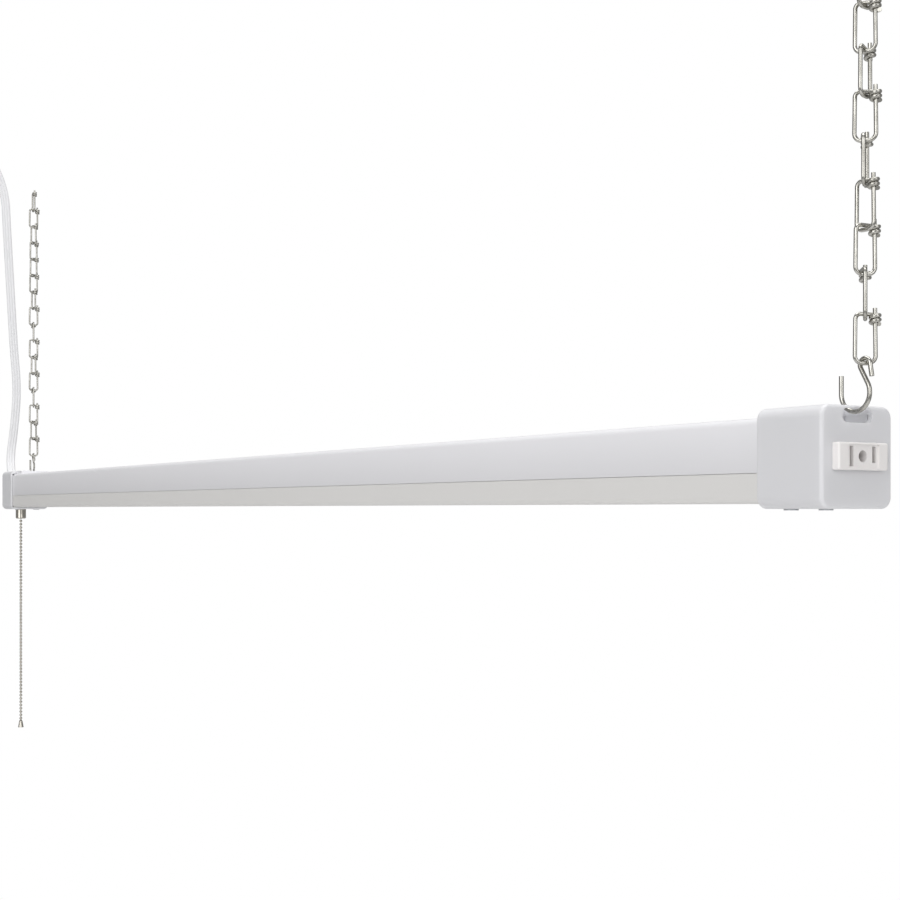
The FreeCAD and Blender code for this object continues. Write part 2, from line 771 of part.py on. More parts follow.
def make_driver_parts():
    """Transformer, capacitors and choke on the driver board."""
    middle = "driver_start + driver_length / 2"
    keep(
        "driver_transformer",
        box(
            "Transformer",
            (f"{middle} - transformer_length / 2", "driver_shift - transformer_width / 2", BOARD_TOP),
            (
                f"{middle} + transformer_length / 2",
                "driver_shift + transformer_width / 2",
                f"{BOARD_TOP} + transformer_height",
            ),
        ),
    )
    axis_z = f"{BOARD_TOP} + capacitor_radius"
    capacitors = [
        cylinder(f"Capacitor_{n}", "capacitor_radius", "capacitor_length", (x, "driver_shift", axis_z), "x")
        for n, x in enumerate(
            ("driver_start + 24", "driver_start + driver_length - 24 - capacitor_length")
        )
    ]
    keep("driver_capacitors", group("Capacitors", *capacitors))
    base = ("driver_start + 78", "driver_shift", BOARD_TOP)
    core = cylinder("Choke_core", "choke_radius", "choke_height", base)
    bore = cylinder("Choke_bore", "choke_hole", "choke_height", base)
    keep("driver_choke", cut("Choke", core, bore))


# ---------------------------------------------------------------- end caps


def cap_shell(side):
    """Rounded cap, hollow towards the body, with its screw holes."""
    x_in, x_out = "overall_length / 2 - cap_depth", "overall_length / 2"
    start, end = span(side, x_in, x_out)
    block = box(f"Cap_block_{side}", (start, "-cap_width / 2", "0"), (end, "cap_width / 2", "cap_height"))
    rounded = fillet(f"Cap_long_edges_{side}", block, "cap_corner", lambda e: runs_along(e, "x"))
    ends = (size(start), size(end))
    softened = fillet(
        f"Cap_rims_{side}",
        rounded,
        "cap_rim",
        lambda e: lies_at(e, "x", ends[0]) or lies_at(e, "x", ends[1]),
    )
    hollow_start, hollow_end = span(side, f"{x_in} - 1", f"{x_out} - cap_wall_end")
    hollow = box(
        f"Cap_hollow_{side}",
        (hollow_start, "-(body_width / 2 + fit_gap)", "body_lift - fit_gap"),
        (hollow_end, "body_width / 2 + fit_gap", "body_top + fit_gap"),
    )
    holes = []
    for n, (at_side, x, y) in enumerate(screw_places()):
        if at_side == side:
            head = cylinder(
                f"Head_hole_{n}",
                "screw_head + fit_gap",
                "screw_head_height - screw_proud + fit_gap + 1",
                (x, y, "-1"),
            )
            shank = cylinder(f"Shank_hole_{n}", "screw_radius + fit_gap", "body_lift + 2", (x, y, "-1"))
            holes += [head, shank]
    return softened, [hollow] + holes


def make_near_cap():
    """Cap with the hanger slot, the top opening behind it and the receptacle's opening."""
    shell, tools = cap_shell("near")
    end = "overall_length / 2"
    wall = f"{end} - cap_wall_end"
    top = "cap_height - strip_height"
    slot_block = box(
        "Hanger_slot_block",
        (f"{wall} - 1", "-hanger_width / 2", f"{top} - hanger_height"),
        (f"{end} + 1", "hanger_width / 2", top),
    )
    slot = fillet("Hanger_slot", slot_block, "hanger_height / 2 - 0.1", lambda e: runs_along(e, "x"))
    opening = box(
        "Hanger_opening",
        (f"{wall} - hanger_opening", "-hanger_width / 2", "body_top - 1"),
        (wall, "hanger_width / 2", "cap_height + 1"),
    )
    half_wide = "(recept_neck_width / 2 + fit_gap)"
    half_tall = "(recept_neck_height / 2 + fit_gap)"
    socket = box(
        "Receptacle_opening",
        (f"{wall} - 1", f"-{half_wide}", f"recept_centre - {half_tall}"),
        (f"{end} + 1", half_wide, f"recept_centre + {half_tall}"),
    )
    keep("near_cap", cut("Near_cap", shell, *tools, slot, opening, socket))


def make_far_cap():
    """Cap with the cord's hole in its end and the pull switch's hole below."""
    shell, tools = cap_shell("far")
    margin = "(relief_margin - 2.5 + fit_gap)"
    half_width, half_thick = f"(cord_width / 2 + {margin})", f"(cord_thick / 2 + {margin})"
    cord_hole = box(
        "Cord_hole",
        ("-overall_length / 2 - 1", f"relief_shift - {half_width}", f"relief_height - {half_thick}"),
        (
            "cap_wall_end + 1 - overall_length / 2",
            f"relief_shift + {half_width}",
            f"relief_height + {half_thick}",
        ),
    )
    pull_hole = cylinder(
        "Pull_hole", "bushing_neck + fit_gap", "body_lift + 2", (PULL_X, "-pull_shift", "-1")
    )
    keep("far_cap", cut("Far_cap", shell, *tools, cord_hole, pull_hole))


def make_cap_screws():
    """Cap screws and the blocks inside the body that they bite into."""
    for side in ("near", "far"):
        screws, holes = [], []
        for n, (at_side, x, y) in enumerate(screw_places()):
            if at_side != side:
                continue
            head = cylinder(f"Screw_head_{n}", "screw_head", "screw_head_height", (x, y, "-screw_proud"))
            shank = cylinder(
                f"Screw_shank_{n}",
                "screw_radius",
                "screw_length",
                (x, y, "screw_head_height - screw_proud"),
            )
            screws.append(fuse(f"Screw_{n}", head, shank))
            holes.append(
                cylinder(f"Block_hole_{n}", "screw_radius + screw_fit", "tray_height", (x, y, "body_lift"))
            )
        keep(f"{side}_cap_screws", group(f"Screws_{side}", *screws))
        middle = "overall_length / 2 - screw_inset"
        start, end = span(side, f"{middle} - block_length / 2", f"{middle} + block_length / 2")
        block = box(
            f"Block_{side}",
            (start, "-block_width / 2", "body_lift + lens_wall"),
            (end, "block_width / 2", "tray_height"),
        )
        keep(f"{side}_screw_block", cut(f"Screw_block_{side}", block, *holes))


# ---------------------------------------------------------------- receptacle


def make_receptacle():
    """Linking receptacle: a proud front, a neck through the wall and a back cover."""
    end = "overall_length / 2"
    front = f"{end} + recept_proud"
    low, high = "recept_centre - recept_height / 2", "recept_centre + recept_height / 2"
    plate = box("Receptacle_plate", (end, "-recept_width / 2", low), (front, "recept_width / 2", high))
    front_x, back_x = size(front), size(end)
    soft = fillet("Receptacle_front", plate, "recept_edge", lambda e: not lies_at(e, "x", back_x))
    neck_low = "recept_centre - recept_neck_height / 2"
    neck_high = "recept_centre + recept_neck_height / 2"
    neck = box(
        "Receptacle_neck",
        (f"{end} - recept_neck", "-recept_neck_width / 2", neck_low),
        (f"{end} + 0.5", "recept_neck_width / 2", neck_high),
    )
    solid = fuse("Receptacle_solid", soft, neck)
    recess = box(
        "Receptacle_recess",
        (f"{front} - recess_depth", "-recess_width / 2", f"{low} + recept_edge"),
        (f"{front} + 1", "recess_width / 2", f"{high} - recept_edge"),
    )
    slot_top = "recept_centre + blade_slot_tall / 2"
    cuts = [recess]
    for name, y, height in (
        ("Neutral", "-blade_pitch / 2", "blade_slot_tall"),
        ("Line", "blade_pitch / 2", "blade_slot_short"),
    ):
        cuts.append(
            box(
                f"{name}_slot",
                (f"{end} - 1", f"{y} - blade_slot_width / 2", f"{slot_top} - {height}"),
                (f"{front} + 1", f"{y} + blade_slot_width / 2", slot_top),
            )
        )
        cuts.append(
            box(
                f"{name}_pocket",
                (f"{end} - recept_neck - 1", f"{y} - 2.4", "recept_centre - blade_slot_tall / 2"),
                (f"{end} - 1", f"{y} + 2.4", slot_top),
            )
        )
    earth_start = f"{end} - recept_neck + earth_floor"
    earth_place = (earth_start, "0", "recept_centre")
    cuts.append(cylinder("Earth_hole", "earth_radius", "recept_neck + recept_proud", earth_place, "x"))
    cuts.append(
        cylinder(
            "Earth_pocket",
            "earth_radius - 0.6",
            "earth_floor + 1",
            (f"{earth_start} - earth_floor - 1", "0", "recept_centre"),
            "x",
        )
    )
    keep("receptacle", cut("Receptacle", solid, *cuts))


def make_contacts():
    """Two sprung blade contacts and the earth contact, standing on the back cover."""
    end = "overall_length / 2"
    start = f"{end} - recept_neck"
    low, high = "recept_centre - blade_slot_tall / 2 + 0.5", "recept_centre + blade_slot_tall / 2 - 0.5"
    contacts = []
    for name, y in (("Neutral", "-blade_pitch / 2"), ("Line", "blade_pitch / 2")):
        leaves = [
            box(
                f"{name}_leaf_{n}",
                (start, f"{y} + {near}", low),
                (f"{start} + contact_length", f"{y} + {near} + contact_wall", high),
            )
            for n, near in enumerate(("1.3", "-1.3 - contact_wall"))
        ]
        foot = box(
            f"{name}_foot",
            (start, f"{y} - 1.3 - contact_wall", low),
            (f"{start} + contact_wall", f"{y} + 1.3 + contact_wall", high),
        )
        contacts.append(fuse(f"{name}_contact", foot, *leaves))
    contacts.append(
        cylinder(
            "Earth_contact", "earth_radius - 0.6 - fit_gap", "earth_floor", (start, "0", "recept_centre"), "x"
        )
    )
    keep("receptacle_contacts", group("Contacts", *contacts))
    keep(
        "receptacle_back",
        box(
            "Receptacle_back",
            (f"{start} - back_wall", "-recept_neck_width / 2", "recept_centre - recept_neck_height / 2"),
            (start, "recept_neck_width / 2", "recept_centre + recept_neck_height / 2"),
        ),
    )


# ---------------------------------------------------------------- hanger bracket


def make_bracket():
    """Bracket on the housing's top: a bar for the far hook between two windows."""
    middle = "overall_length / 2 - hook_centre - hook_spacing"
    half, deep = "bracket_length / 2", "bracket_width / 2"
    under = "cap_height - strip_height"
    plate = box(
        "Bracket_block",
        (f"{middle} - {half}", f"-({deep})", "body_top"),
        (f"{middle} + {half}", deep, "cap_height"),
    )
    hollow = box(
        "Bracket_hollow",
        (f"{middle} - {half} + bracket_wall", f"-({deep}) + bracket_wall", "body_top - 1"),
        (f"{middle} + {half} - bracket_wall", f"{deep} - bracket_wall", under),
    )
    windows = [
        box(
            f"Bracket_window_{n}",
            (start, "-hanger_width / 2", "body_top"),
            (stop, "hanger_width / 2", "cap_height + 1"),
        )
        for n, (start, stop) in enumerate(
            (
                (f"{middle} - {half} + bracket_wall", f"{middle} - bar_width / 2"),
                (f"{middle} + bar_width / 2", f"{middle} + {half} - bracket_wall"),
            )
        )
    ]
    keep("hanger_bracket", cut("Bracket", plate, hollow, *windows))


# ---------------------------------------------------------------- pull switch

SWIVEL_DROP = "bushing_drop + swivel_drop"


def make_pull_switch():
    """Switch body and nut inside the far cap, bushing below it."""
    y = "-pull_shift"
    top = "pull_body_lift + pull_body_height"
    block = box(
        "Switch_block",
        (f"{PULL_X} - pull_body_length / 2", f"{y} - pull_body_width / 2", "pull_body_lift"),
        (f"{PULL_X} + pull_body_length / 2", f"{y} + pull_body_width / 2", top),
    )
    room = cylinder(
        "Switch_room", "bushing_neck + fit_gap", "pull_body_height - 1.5", (PULL_X, y, "pull_body_lift - 1")
    )
    keep("pull_switch_body", cut("Switch_body", block, room))
    low = "-bushing_drop"
    bushing = turned_body(
        "Bushing_turned",
        (
            ("bead_radius + bead_play", "pull_body_lift + 2"),
            ("bushing_neck", "pull_body_lift + 2"),
            ("bushing_neck", "0"),
            ("bushing_radius", "0"),
            ("bushing_radius", f"{low} + bushing_chamfer"),
            ("bushing_radius - bushing_chamfer", low),
            ("bushing_mouth", low),
            ("bead_radius + bead_play", f"{low} + bushing_flare"),
        ),
    )
    place(bushing, (PULL_X, y, "0"))
    keep("pull_bushing", bushing)
    nut_block = doc.addObject("Part::Prism", "Nut_block")
    nut_block.Polygon = 6
    bind(nut_block, "Circumradius", "nut_radius")
    bind(nut_block, "Height", "nut_height")
    place(nut_block, (PULL_X, y, "body_lift - fit_gap"))
    nut_hole = cylinder("Nut_hole", "bushing_neck", "nut_height + 2", (PULL_X, y, "body_lift - 1.5"))
    keep("pull_nut", cut("Nut", nut_block, nut_hole))


def bead_string(count, top, head, foot_stub):
    """Beads on a wire, as one turned solid. top is the first bead's centre, head the outline above."""
    radius, neck, pitch = size("bead_radius"), size("bead_neck"), size("bead_pitch")
    reach = math.sqrt(radius**2 - neck**2)
    edges = [Part.LineSegment(a, b).toShape() for a, b in zip(head, head[1:])]
    last = head[-1]
    for n in range(count):
        z = top - n * pitch
        start, end = Vector(neck, 0, z + reach), Vector(neck, 0, z - reach)
        edges.append(Part.LineSegment(last, start).toShape())
        edges.append(Part.Arc(start, Vector(radius, 0, z), end).toShape())
        last = end
    rim = last - Vector(0, 0, foot_stub)
    outline = [last, rim, Vector(0, 0, rim.z), head[0]]
    edges += [Part.LineSegment(a, b).toShape() for a, b in zip(outline, outline[1:])]
    return Part.Face(Part.Wire(edges)).revolve(Vector(0, 0, 0), Vector(0, 0, 1), 360)


def make_pull_chain():
    """Pull rod with its beads, the swivel bead, the bead chain and its end bell."""
    axis = Vector(size(PULL_X), size("-pull_shift"), 0)
    pitch, radius, neck = size("bead_pitch"), size("bead_radius"), size("bead_neck")
    reach = math.sqrt(radius**2 - neck**2)
    stub = pitch - radius - reach - size("bead_play")
    swivel_z = -size(SWIVEL_DROP)
    rod_beads = int(size("rod_beads"))
    first_z = swivel_z + rod_beads * pitch
    top, shoulder = first_z + reach + size("rod_length"), first_z + reach + 0.6
    rod = size("rod_radius")
    profile = ((0, top), (rod, top), (rod, shoulder), (neck, shoulder))
    head = [Vector(across, 0, z) for across, z in profile]
    keep("pull_rod", feature("Pull_rod", moved(bead_string(rod_beads, first_z, head, stub), axis)))
    swivel = Part.makeSphere(radius, axis + Vector(0, 0, swivel_z))
    keep("swivel_bead", feature("Swivel_bead", swivel))
    count = int(size("bead_count"))
    chain_top = swivel_z - pitch + reach + stub
    head = [Vector(0, 0, chain_top), Vector(neck, 0, chain_top)]
    foot = size("bead_play")
    keep("bead_chain", feature("Bead_chain", moved(bead_string(count, swivel_z - pitch, head, foot), axis)))
    bell = turned_body(
        "Bell_turned",
        (
            ("0", "0"),
            ("bead_neck + 0.6", "0"),
            ("bell_radius * 0.62", "-1.4"),
            ("bell_radius * 0.8", "-bell_height * 0.55"),
            ("bell_radius", "-bell_height"),
            ("0", "-bell_height"),
        ),
    )
    drop = f"{SWIVEL_DROP} + bead_count * bead_pitch + bead_play"
    place(bell, (PULL_X, "-pull_shift", f"-({drop}) - sqrt(bead_radius^2 - bead_neck^2)"))
    keep("chain_bell", bell)


# ---------------------------------------------------------------- hooks and chains


def s_hook_shape():
    """S-hook in the XZ plane, origin at the centre of its open bend."""
    bend, eye = size("hook_radius"), size("eye_radius")
    centre = Vector(size("eye_offset"), 0, size("eye_rise"))
    lean = math.atan2(centre.z, centre.x) - math.acos((bend + eye) / centre.Length)
    out = Vector(math.cos(lean), 0, math.sin(lean))
    tail_lean = math.radians(10)
    side = Vector(math.cos(tail_lean), 0, math.sin(tail_lean))
    tail = Vector(math.sin(tail_lean), 0, -math.cos(tail_lean))
    tip, foot = Vector(-bend, 0, size("hook_tip")), Vector(-bend, 0, 0)
    over = (side - out).normalize()
    crown = centre + Vector(-over.z, 0, over.x) * eye
    eye_start, eye_end = centre - out * eye, centre + side * eye
    path = Part.Wire(
        [
            Part.LineSegment(tip, foot).toShape(),
            Part.Arc(foot, Vector(0, 0, -bend), out * bend).toShape(),
            Part.LineSegment(out * bend, eye_start).toShape(),
            Part.Arc(eye_start, crown, eye_end).toShape(),
            Part.LineSegment(eye_end, eye_end + tail * size("eye_tail")).toShape(),
        ]
    )
    return tube(path, size("hook_wire / 2"))


def link_shape():
    """One knotted link in the XZ plane, origin at the middle of its lower bar."""
    foot, head, rise = size("link_foot"), size("link_head"), LINK_RISE
    wire = size("link_wire / 2")
    corners = [Vector(-foot, 0, 0), Vector(foot, 0, 0), Vector(head, 0, rise), Vector(-head, 0, rise)]
    bends = [size("link_foot_bend")] * 2 + [size("link_head_bend")] * 2
    start = (corners[3] + corners[0]) * 0.5
    loop = rounded_path(corners, bends, closed=True)
    leg = (corners[2] - corners[1]).normalize()
    solid = tube(loop, wire)
    first_drop = size("knot_drop")
    for drop in (first_drop, first_drop + size("knot_step")):
        ring = Part.makeTorus(size("knot_radius"), wire, corners[2] - leg * drop, leg)
        solid = solid.fuse(ring)
    sunk = size("knot_drop")
    stub = Part.makeCylinder(wire, size("knot_stub") + sunk, corners[2] - leg * sunk, leg)
    return solid.fuse(stub).removeSplitter()


def make_suspension(side, hook_x, turns):
    """S-hook and chain of one side: hook, chain, swing link and top link."""
    hook = moved(HOOK, Vector(hook_x, 0, HOOK_BEND_Z))
    keep(f"{side}_s_hook", feature(f"S_hook_{side}", hook))
    x = hook_x + size("eye_offset")
    pitch = size("link_pitch")
    links = [
        moved(LINK, Vector(x, 0, FIRST_LINK_Z + n * pitch), turn) for n, turn in enumerate(turns)
    ]
    keep(f"{side}_chain_links", feature(f"Links_{side}", Part.makeCompound(links[:-2])))
    keep(f"{side}_swing_link", feature(f"Swing_link_{side}", links[-2]))
    keep(f"{side}_top_link", feature(f"Top_link_{side}", links[-1]))


# ---------------------------------------------------------------- cord


def make_strain_relief():
    """Flanged strain relief in the far end wall that tapers onto the cord."""
    end = size("-overall_length / 2")
    y, z = size("relief_shift"), size("relief_height")
    width, thick = size("cord_width"), size("cord_thick")

    def section(x, half_width, half_height):
        corners = [
            Vector(x, y + a * half_width, z + b * half_height)
            for a, b in ((1, 1), (-1, 1), (-1, -1), (1, -1))
        ]
        return Part.makePolygon(corners + corners[:1])

    def plate(start, length, beyond):
        corner = Vector(start, y - width / 2 - beyond, z - thick / 2 - beyond)
        return Part.makeBox(length, width + 2 * beyond, thick + 2 * beyond, corner)

    margin, wall = size("relief_margin"), size("cap_wall_end + fit_gap")
    flange = plate(end - size("relief_flange"), size("relief_flange"), margin)
    neck = plate(end - 0.5, wall + 1, margin - 2.5)
    inner = plate(end + wall, size("relief_inner"), margin - 1)
    boot = Part.makeLoft(
        [
            section(end - size("relief_flange") / 2, width / 2 + 2.4, thick / 2 + 2.4),
            section(end - size("relief_length"), width / 2 + 0.5, thick / 2 + 0.5),
        ],
        True,
        True,
    )
    solid = flange.fuse([neck, boot, inner]).removeSplitter()
    keep("strain_relief", feature("Strain_relief", solid))


def coil_path(start, along):
    """Helical turns about an axis along -Y, with straight ends."""
    radius, step = size("coil_radius"), size("coil_step")
    rise = step / (2 * math.pi * radius)
    centre = Vector(start.x - radius, start.y, start.z)
    straight = size("cord_width")

    def point(angle):
        return centre + Vector(radius * math.cos(angle), -radius * rise * angle, radius * math.sin(angle))

    def heading(angle):
        return Vector(-math.sin(angle), -rise, math.cos(angle)).normalize()

    edges = [Part.LineSegment(start - along * straight, start).toShape()]
    for n in range(int(size("coil_turns")) * 2):
        here, there = n * math.pi, (n + 1) * math.pi
        edges += biarc(point(here), heading(here), point(there), heading(there))
    last = point(int(size("coil_turns")) * 2 * math.pi)
    edges.append(Part.LineSegment(last, last + along * straight).toShape())
    return Part.Wire(edges), last + along * straight


def least_gap(path, width):
    """Smallest free gap between neighbouring turns, measured on points of the path."""
    points = path.discretize(Distance=2.0)
    apart = int(size("coil_radius") * 3 / 2.0)
    return min(
        (a - b).Length for n, a in enumerate(points) for b in points[n + apart :]
    ) - width


def report_tube(label, path, solid, section_area):
    """Print a tube's volume beside its section times its length."""
    print(f"{label}: length {path.Length:.1f}, volume {solid.Volume:.1f}, "
          f"section x length {section_area * path.Length:.1f}")


def make_cord():
    """Free stretch, coil, tail, tie and plug of the power cord."""
    radius, step = size("coil_radius"), size("coil_step")
    rise = step / (2 * math.pi * radius)
    along = Vector(0, -rise, 1).normalize()
    end = size("-overall_length / 2")
    coil_start = Vector(end - COIL_START[0], COIL_START[1], size("coil_height"))
    straight = size("cord_width")
    lead_in = coil_start - along * straight
    points = [Vector(end - beyond, y, z) for beyond, y, z in CORD_ROUTE]
    points += [lead_in - along * CORD_LAST_RUN, lead_in]
    radii = free_radii(points)
    print("cord bend radii:", ", ".join(f"{radius:.0f}" for radius in radii))
    thick = size("cord_thick")
    area = thick * (straight - thick) + math.pi * thick**2 / 4
    hanging = rounded_path(points, radii)
    cord, across = flat_cord(hanging, Vector(0, 1, 0))
    report_tube("power_cord", hanging, cord, area)
    keep("power_cord", feature("Power_cord", cord))

    turns, coil_end = coil_path(coil_start, along)
    coil, across = flat_cord(turns, across)
    report_tube("cord_coil", turns, coil, area)
    print(f"cord_coil least gap between turns: {least_gap(turns, straight):.2f}")
    keep("cord_coil", feature("Cord_coil", coil))

    plug_foot = coil_end + along * size("tail_length")
    tail_path = Part.Wire([Part.LineSegment(coil_end, plug_foot).toShape()])
    tail, across = flat_cord(tail_path, across)
    report_tube("cord_tail", tail_path, tail, area)
    keep("cord_tail", feature("Cord_tail", tail))
    print(f"cord length in all: {hanging.Length + turns.Length + tail_path.Length:.0f}")
    make_tie(coil_start, coil)
    make_plug(plug_foot + Vector(0, 0, size("cord_width / 2") * rise), across)


def make_tie(coil_start, coil):
    """Band round the coil's turns on their far side, fitted to the turns inside it."""
    tall, wall, play = size("tie_width"), size("tie_wall"), size("tie_play")
    radius = size("coil_radius")
    floor = coil_start.z - tall / 2
    slab = Part.makeBox(radius, 4 * radius, tall, Vector(coil_start.x - 2.5 * radius, -3 * radius, floor))
    turns = coil.common(slab).BoundBox

    def sleeve(margin, low, height):
        corner = Vector(turns.XMin - margin, turns.YMin - margin, low)
        return Part.makeBox(turns.XLength + 2 * margin, turns.YLength + 2 * margin, height, corner)

    band = sleeve(play + wall, floor, tall).cut(sleeve(play, floor - 1, tall + 2))
    keep("cord_tie", feature("Cord_tie", band))


def make_plug(foot, across):
    """Moulded plug, upright above its cord, with two blades and an earth pin."""
    turn = math.degrees(math.atan2(across.y, across.x)) - 90
    x = y = z = 0
    boot, length = size("plug_boot"), size("plug_length")
    width, depth = size("plug_width"), size("plug_depth")
    cord, thick = size("cord_width"), size("cord_thick")

    def rectangle(height, half_depth, half_width):
        corners = [
            Vector(x + a * half_depth, y + b * half_width, z + height)
            for a, b in ((1, 1), (-1, 1), (-1, -1), (1, -1))
        ]
        return Part.makePolygon(corners + corners[:1])

    boot_top = rectangle(boot, thick / 2 + 2, cord / 2 + 2.4)
    sleeve = Part.makeLoft([rectangle(0, thick / 2 + 0.7, cord / 2 + 0.7), boot_top], True, True)
    shoulder = Part.makeLoft(
        [
            boot_top,
            rectangle(boot + length * 0.35, depth / 2, width / 2),
            rectangle(boot + length, depth / 2, width / 2),
        ],
        True,
        True,
    )
    upright = [
        edge
        for edge in shoulder.Edges
        if edge.BoundBox.ZLength > 1 and not isinstance(edge.Curve, Part.Circle)
    ]
    body = sleeve.fuse(shoulder.makeFillet(size("plug_corner"), upright)).removeSplitter()
    keep("plug_body", feature("Plug_body", moved(body, foot, turn)))
    face = z + boot + length
    half, wall = size("blade_pitch / 2"), size("plug_blade_wall")
    blades = []
    for side in (-1, 1):
        corner = Vector(x - 6, y + side * half - wall / 2, face)
        blades.append(Part.makeBox(size("plug_blade_width"), wall, size("plug_blade"), corner))
    pin = Part.makeCylinder(size("plug_pin"), size("plug_pin_length"), Vector(x + 5.4, y, face))
    blades.append(pin)
    keep("plug_blades", feature("Plug_blades", moved(Part.makeCompound(blades), foot, turn)))


# ---------------------------------------------------------------- wires inside the light


def make_wires():
    """Three through wires to the receptacle, their tap block and the driver's leads."""
    wire, bend, step = size("wire_radius"), size("wire_bend"), size("wire_step")
    lane_y = size("-(body_width / 2) + housing_wall + fit_gap + tray_wall + fit_gap") + wire
    floor = size(TRAY_TOP + " + fit_gap") + wire
    start_x = size("cap_wall_end + fit_gap + relief_inner - overall_length / 2")
    end_x = size("overall_length / 2 - recept_neck - back_wall")
    relief_y, relief_z = size("relief_shift"), size("relief_height")
    centre, pitch = size("recept_centre"), size("blade_pitch / 2")
    runs = []
    for n, lane in enumerate((-1, 0, 1)):
        low = floor + n * step
        points = [
            Vector(start_x, relief_y + lane * size("wire_fan"), relief_z),
            Vector(start_x + 20, relief_y + lane * size("wire_fan"), relief_z),
            Vector(start_x + 66, lane_y, low),
            Vector(end_x - 52, lane_y, low),
            Vector(end_x - 14, lane * pitch, centre),
            Vector(end_x, lane * pitch, centre),
        ]
        runs.append(tube(rounded_path(points, [bend] * 4), wire))
    keep("through_wires", feature("Through_wires", Part.makeCompound(runs)))

    tap_x = size("driver_start - tap_distance")
    length, wall = size("tap_length"), size("tap_wall")
    tap = Part.makeBox(
        length,
        2 * (wire + wall),
        2 * (wire + wall) + 2 * step,
        Vector(tap_x, lane_y - wire - size("fit_gap"), floor - wire - size("fit_gap")),
    )
    for n in range(3):
        hole = Vector(tap_x - 1, lane_y, floor + n * step)
        tap = tap.cut(Part.makeCylinder(wire + size("tap_fit"), length + 2, hole, Vector(1, 0, 0)))
    keep("wire_tap", feature("Wire_tap", tap))

    lead_y = lane_y + wire + 2 * wall - size("fit_gap")
    board_z = size(TRAY_TOP + " + standoff_height + driver_wall / 2")
    leads = []
    for n, y in enumerate((-size("lead_spread"), size("lead_spread"))):
        points = [
            Vector(tap_x + length / 2, lead_y, floor + (n + 0.5) * step),
            Vector(tap_x + length / 2, lead_y + 9, floor + (n + 0.5) * step),
            Vector(tap_x + length + 22, size("driver_shift") + y, board_z),
            Vector(size("driver_start"), size("driver_shift") + y, board_z),
        ]
        leads.append(tube(rounded_path(points, [bend * 0.6] * 2), wire * 0.7))
    keep("driver_leads", feature("Driver_leads", Part.makeCompound(leads)))


HOOK = s_hook_shape()
LINK = link_shape()

make_housing()
make_lens()
make_tray()
make_boards()
make_rivets()
make_board_link()
make_driver()
make_driver_parts()
make_near_cap()
make_far_cap()
make_cap_screws()
make_receptacle()
make_contacts()
make_bracket()
make_pull_switch()
make_pull_chain()
make_suspension("near", NEAR_HOOK_X, NEAR_TURNS)
make_suspension("far", FAR_HOOK_X, FAR_TURNS)
make_strain_relief()
make_cord()
make_wires()
doc.recompute()

# ---------------------------------------------------------------- checks and files

faults = [item.Name for item in doc.Objects if {"Invalid", "Error"} & set(item.State)]
faults += [item.Label for item in nodes if item.Shape.isNull() or not item.Shape.isValid()]
if faults:
    raise RuntimeError("failed objects: " + ", ".join(faults))

os.makedirs("parts", exist_ok=True)
for item in nodes:
    item.Shape.exportStep(os.path.join("parts", item.Label + ".step"))
    print(f"{item.Label}: {len(item.Shape.Solids)} solid(s), {item.Shape.Volume / 1000:.2f} cm3")
print("nodes:", len(nodes))
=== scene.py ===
"""Looks of a linkable shop light that hangs from two wire chains.

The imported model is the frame: every size here is in metres, in the frame's own axes. +X runs along
the light towards its linking outlet, +Y away from the front side, +Z up, and the origin lies on the
hanging line. Heights that belong to the light count from the underside of its end caps.
"""

from __future__ import annotations

import json
import logging
import math
from dataclasses import dataclass
from enum import Enum

import bmesh
import bpy
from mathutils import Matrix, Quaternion, Vector

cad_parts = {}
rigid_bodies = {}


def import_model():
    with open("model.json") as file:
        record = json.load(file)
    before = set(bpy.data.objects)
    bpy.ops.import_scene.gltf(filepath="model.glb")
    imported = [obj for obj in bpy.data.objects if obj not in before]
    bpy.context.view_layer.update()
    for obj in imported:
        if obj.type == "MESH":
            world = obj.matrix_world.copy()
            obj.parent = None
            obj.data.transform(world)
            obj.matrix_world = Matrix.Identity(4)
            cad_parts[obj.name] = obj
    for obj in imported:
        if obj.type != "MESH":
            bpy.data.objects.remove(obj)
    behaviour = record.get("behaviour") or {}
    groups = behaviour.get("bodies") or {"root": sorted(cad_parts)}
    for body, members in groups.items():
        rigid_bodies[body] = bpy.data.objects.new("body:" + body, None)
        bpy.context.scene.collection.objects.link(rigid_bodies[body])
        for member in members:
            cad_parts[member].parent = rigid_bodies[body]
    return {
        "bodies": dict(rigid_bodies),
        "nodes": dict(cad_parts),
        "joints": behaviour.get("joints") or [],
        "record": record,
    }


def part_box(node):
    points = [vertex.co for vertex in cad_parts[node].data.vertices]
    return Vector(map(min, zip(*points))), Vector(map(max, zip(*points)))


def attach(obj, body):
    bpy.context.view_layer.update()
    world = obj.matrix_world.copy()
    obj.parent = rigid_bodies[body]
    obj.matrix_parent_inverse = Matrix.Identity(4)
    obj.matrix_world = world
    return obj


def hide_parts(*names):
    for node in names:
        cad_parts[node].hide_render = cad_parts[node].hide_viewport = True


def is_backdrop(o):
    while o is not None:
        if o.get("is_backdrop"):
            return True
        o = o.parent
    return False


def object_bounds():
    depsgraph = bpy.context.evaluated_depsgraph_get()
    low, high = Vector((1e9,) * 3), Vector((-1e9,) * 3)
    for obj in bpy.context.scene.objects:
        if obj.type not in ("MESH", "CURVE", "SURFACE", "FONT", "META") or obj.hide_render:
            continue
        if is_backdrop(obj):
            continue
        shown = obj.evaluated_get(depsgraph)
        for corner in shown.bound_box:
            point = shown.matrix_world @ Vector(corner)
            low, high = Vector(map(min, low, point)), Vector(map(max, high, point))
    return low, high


LOG = logging.getLogger("shop_light")
MM = 0.001
PHOTO_SIDE = 900  # pixels along each side of the picture
SENSOR = 36.0  # millimetres across the camera's sensor
WHITE = (1, 1, 1, 1)

Spot = tuple[float, float]  # a place in the node editor
Triple = tuple[float, float, float]  # a place or a colour


# ---------------------------------------------------------------- node trees


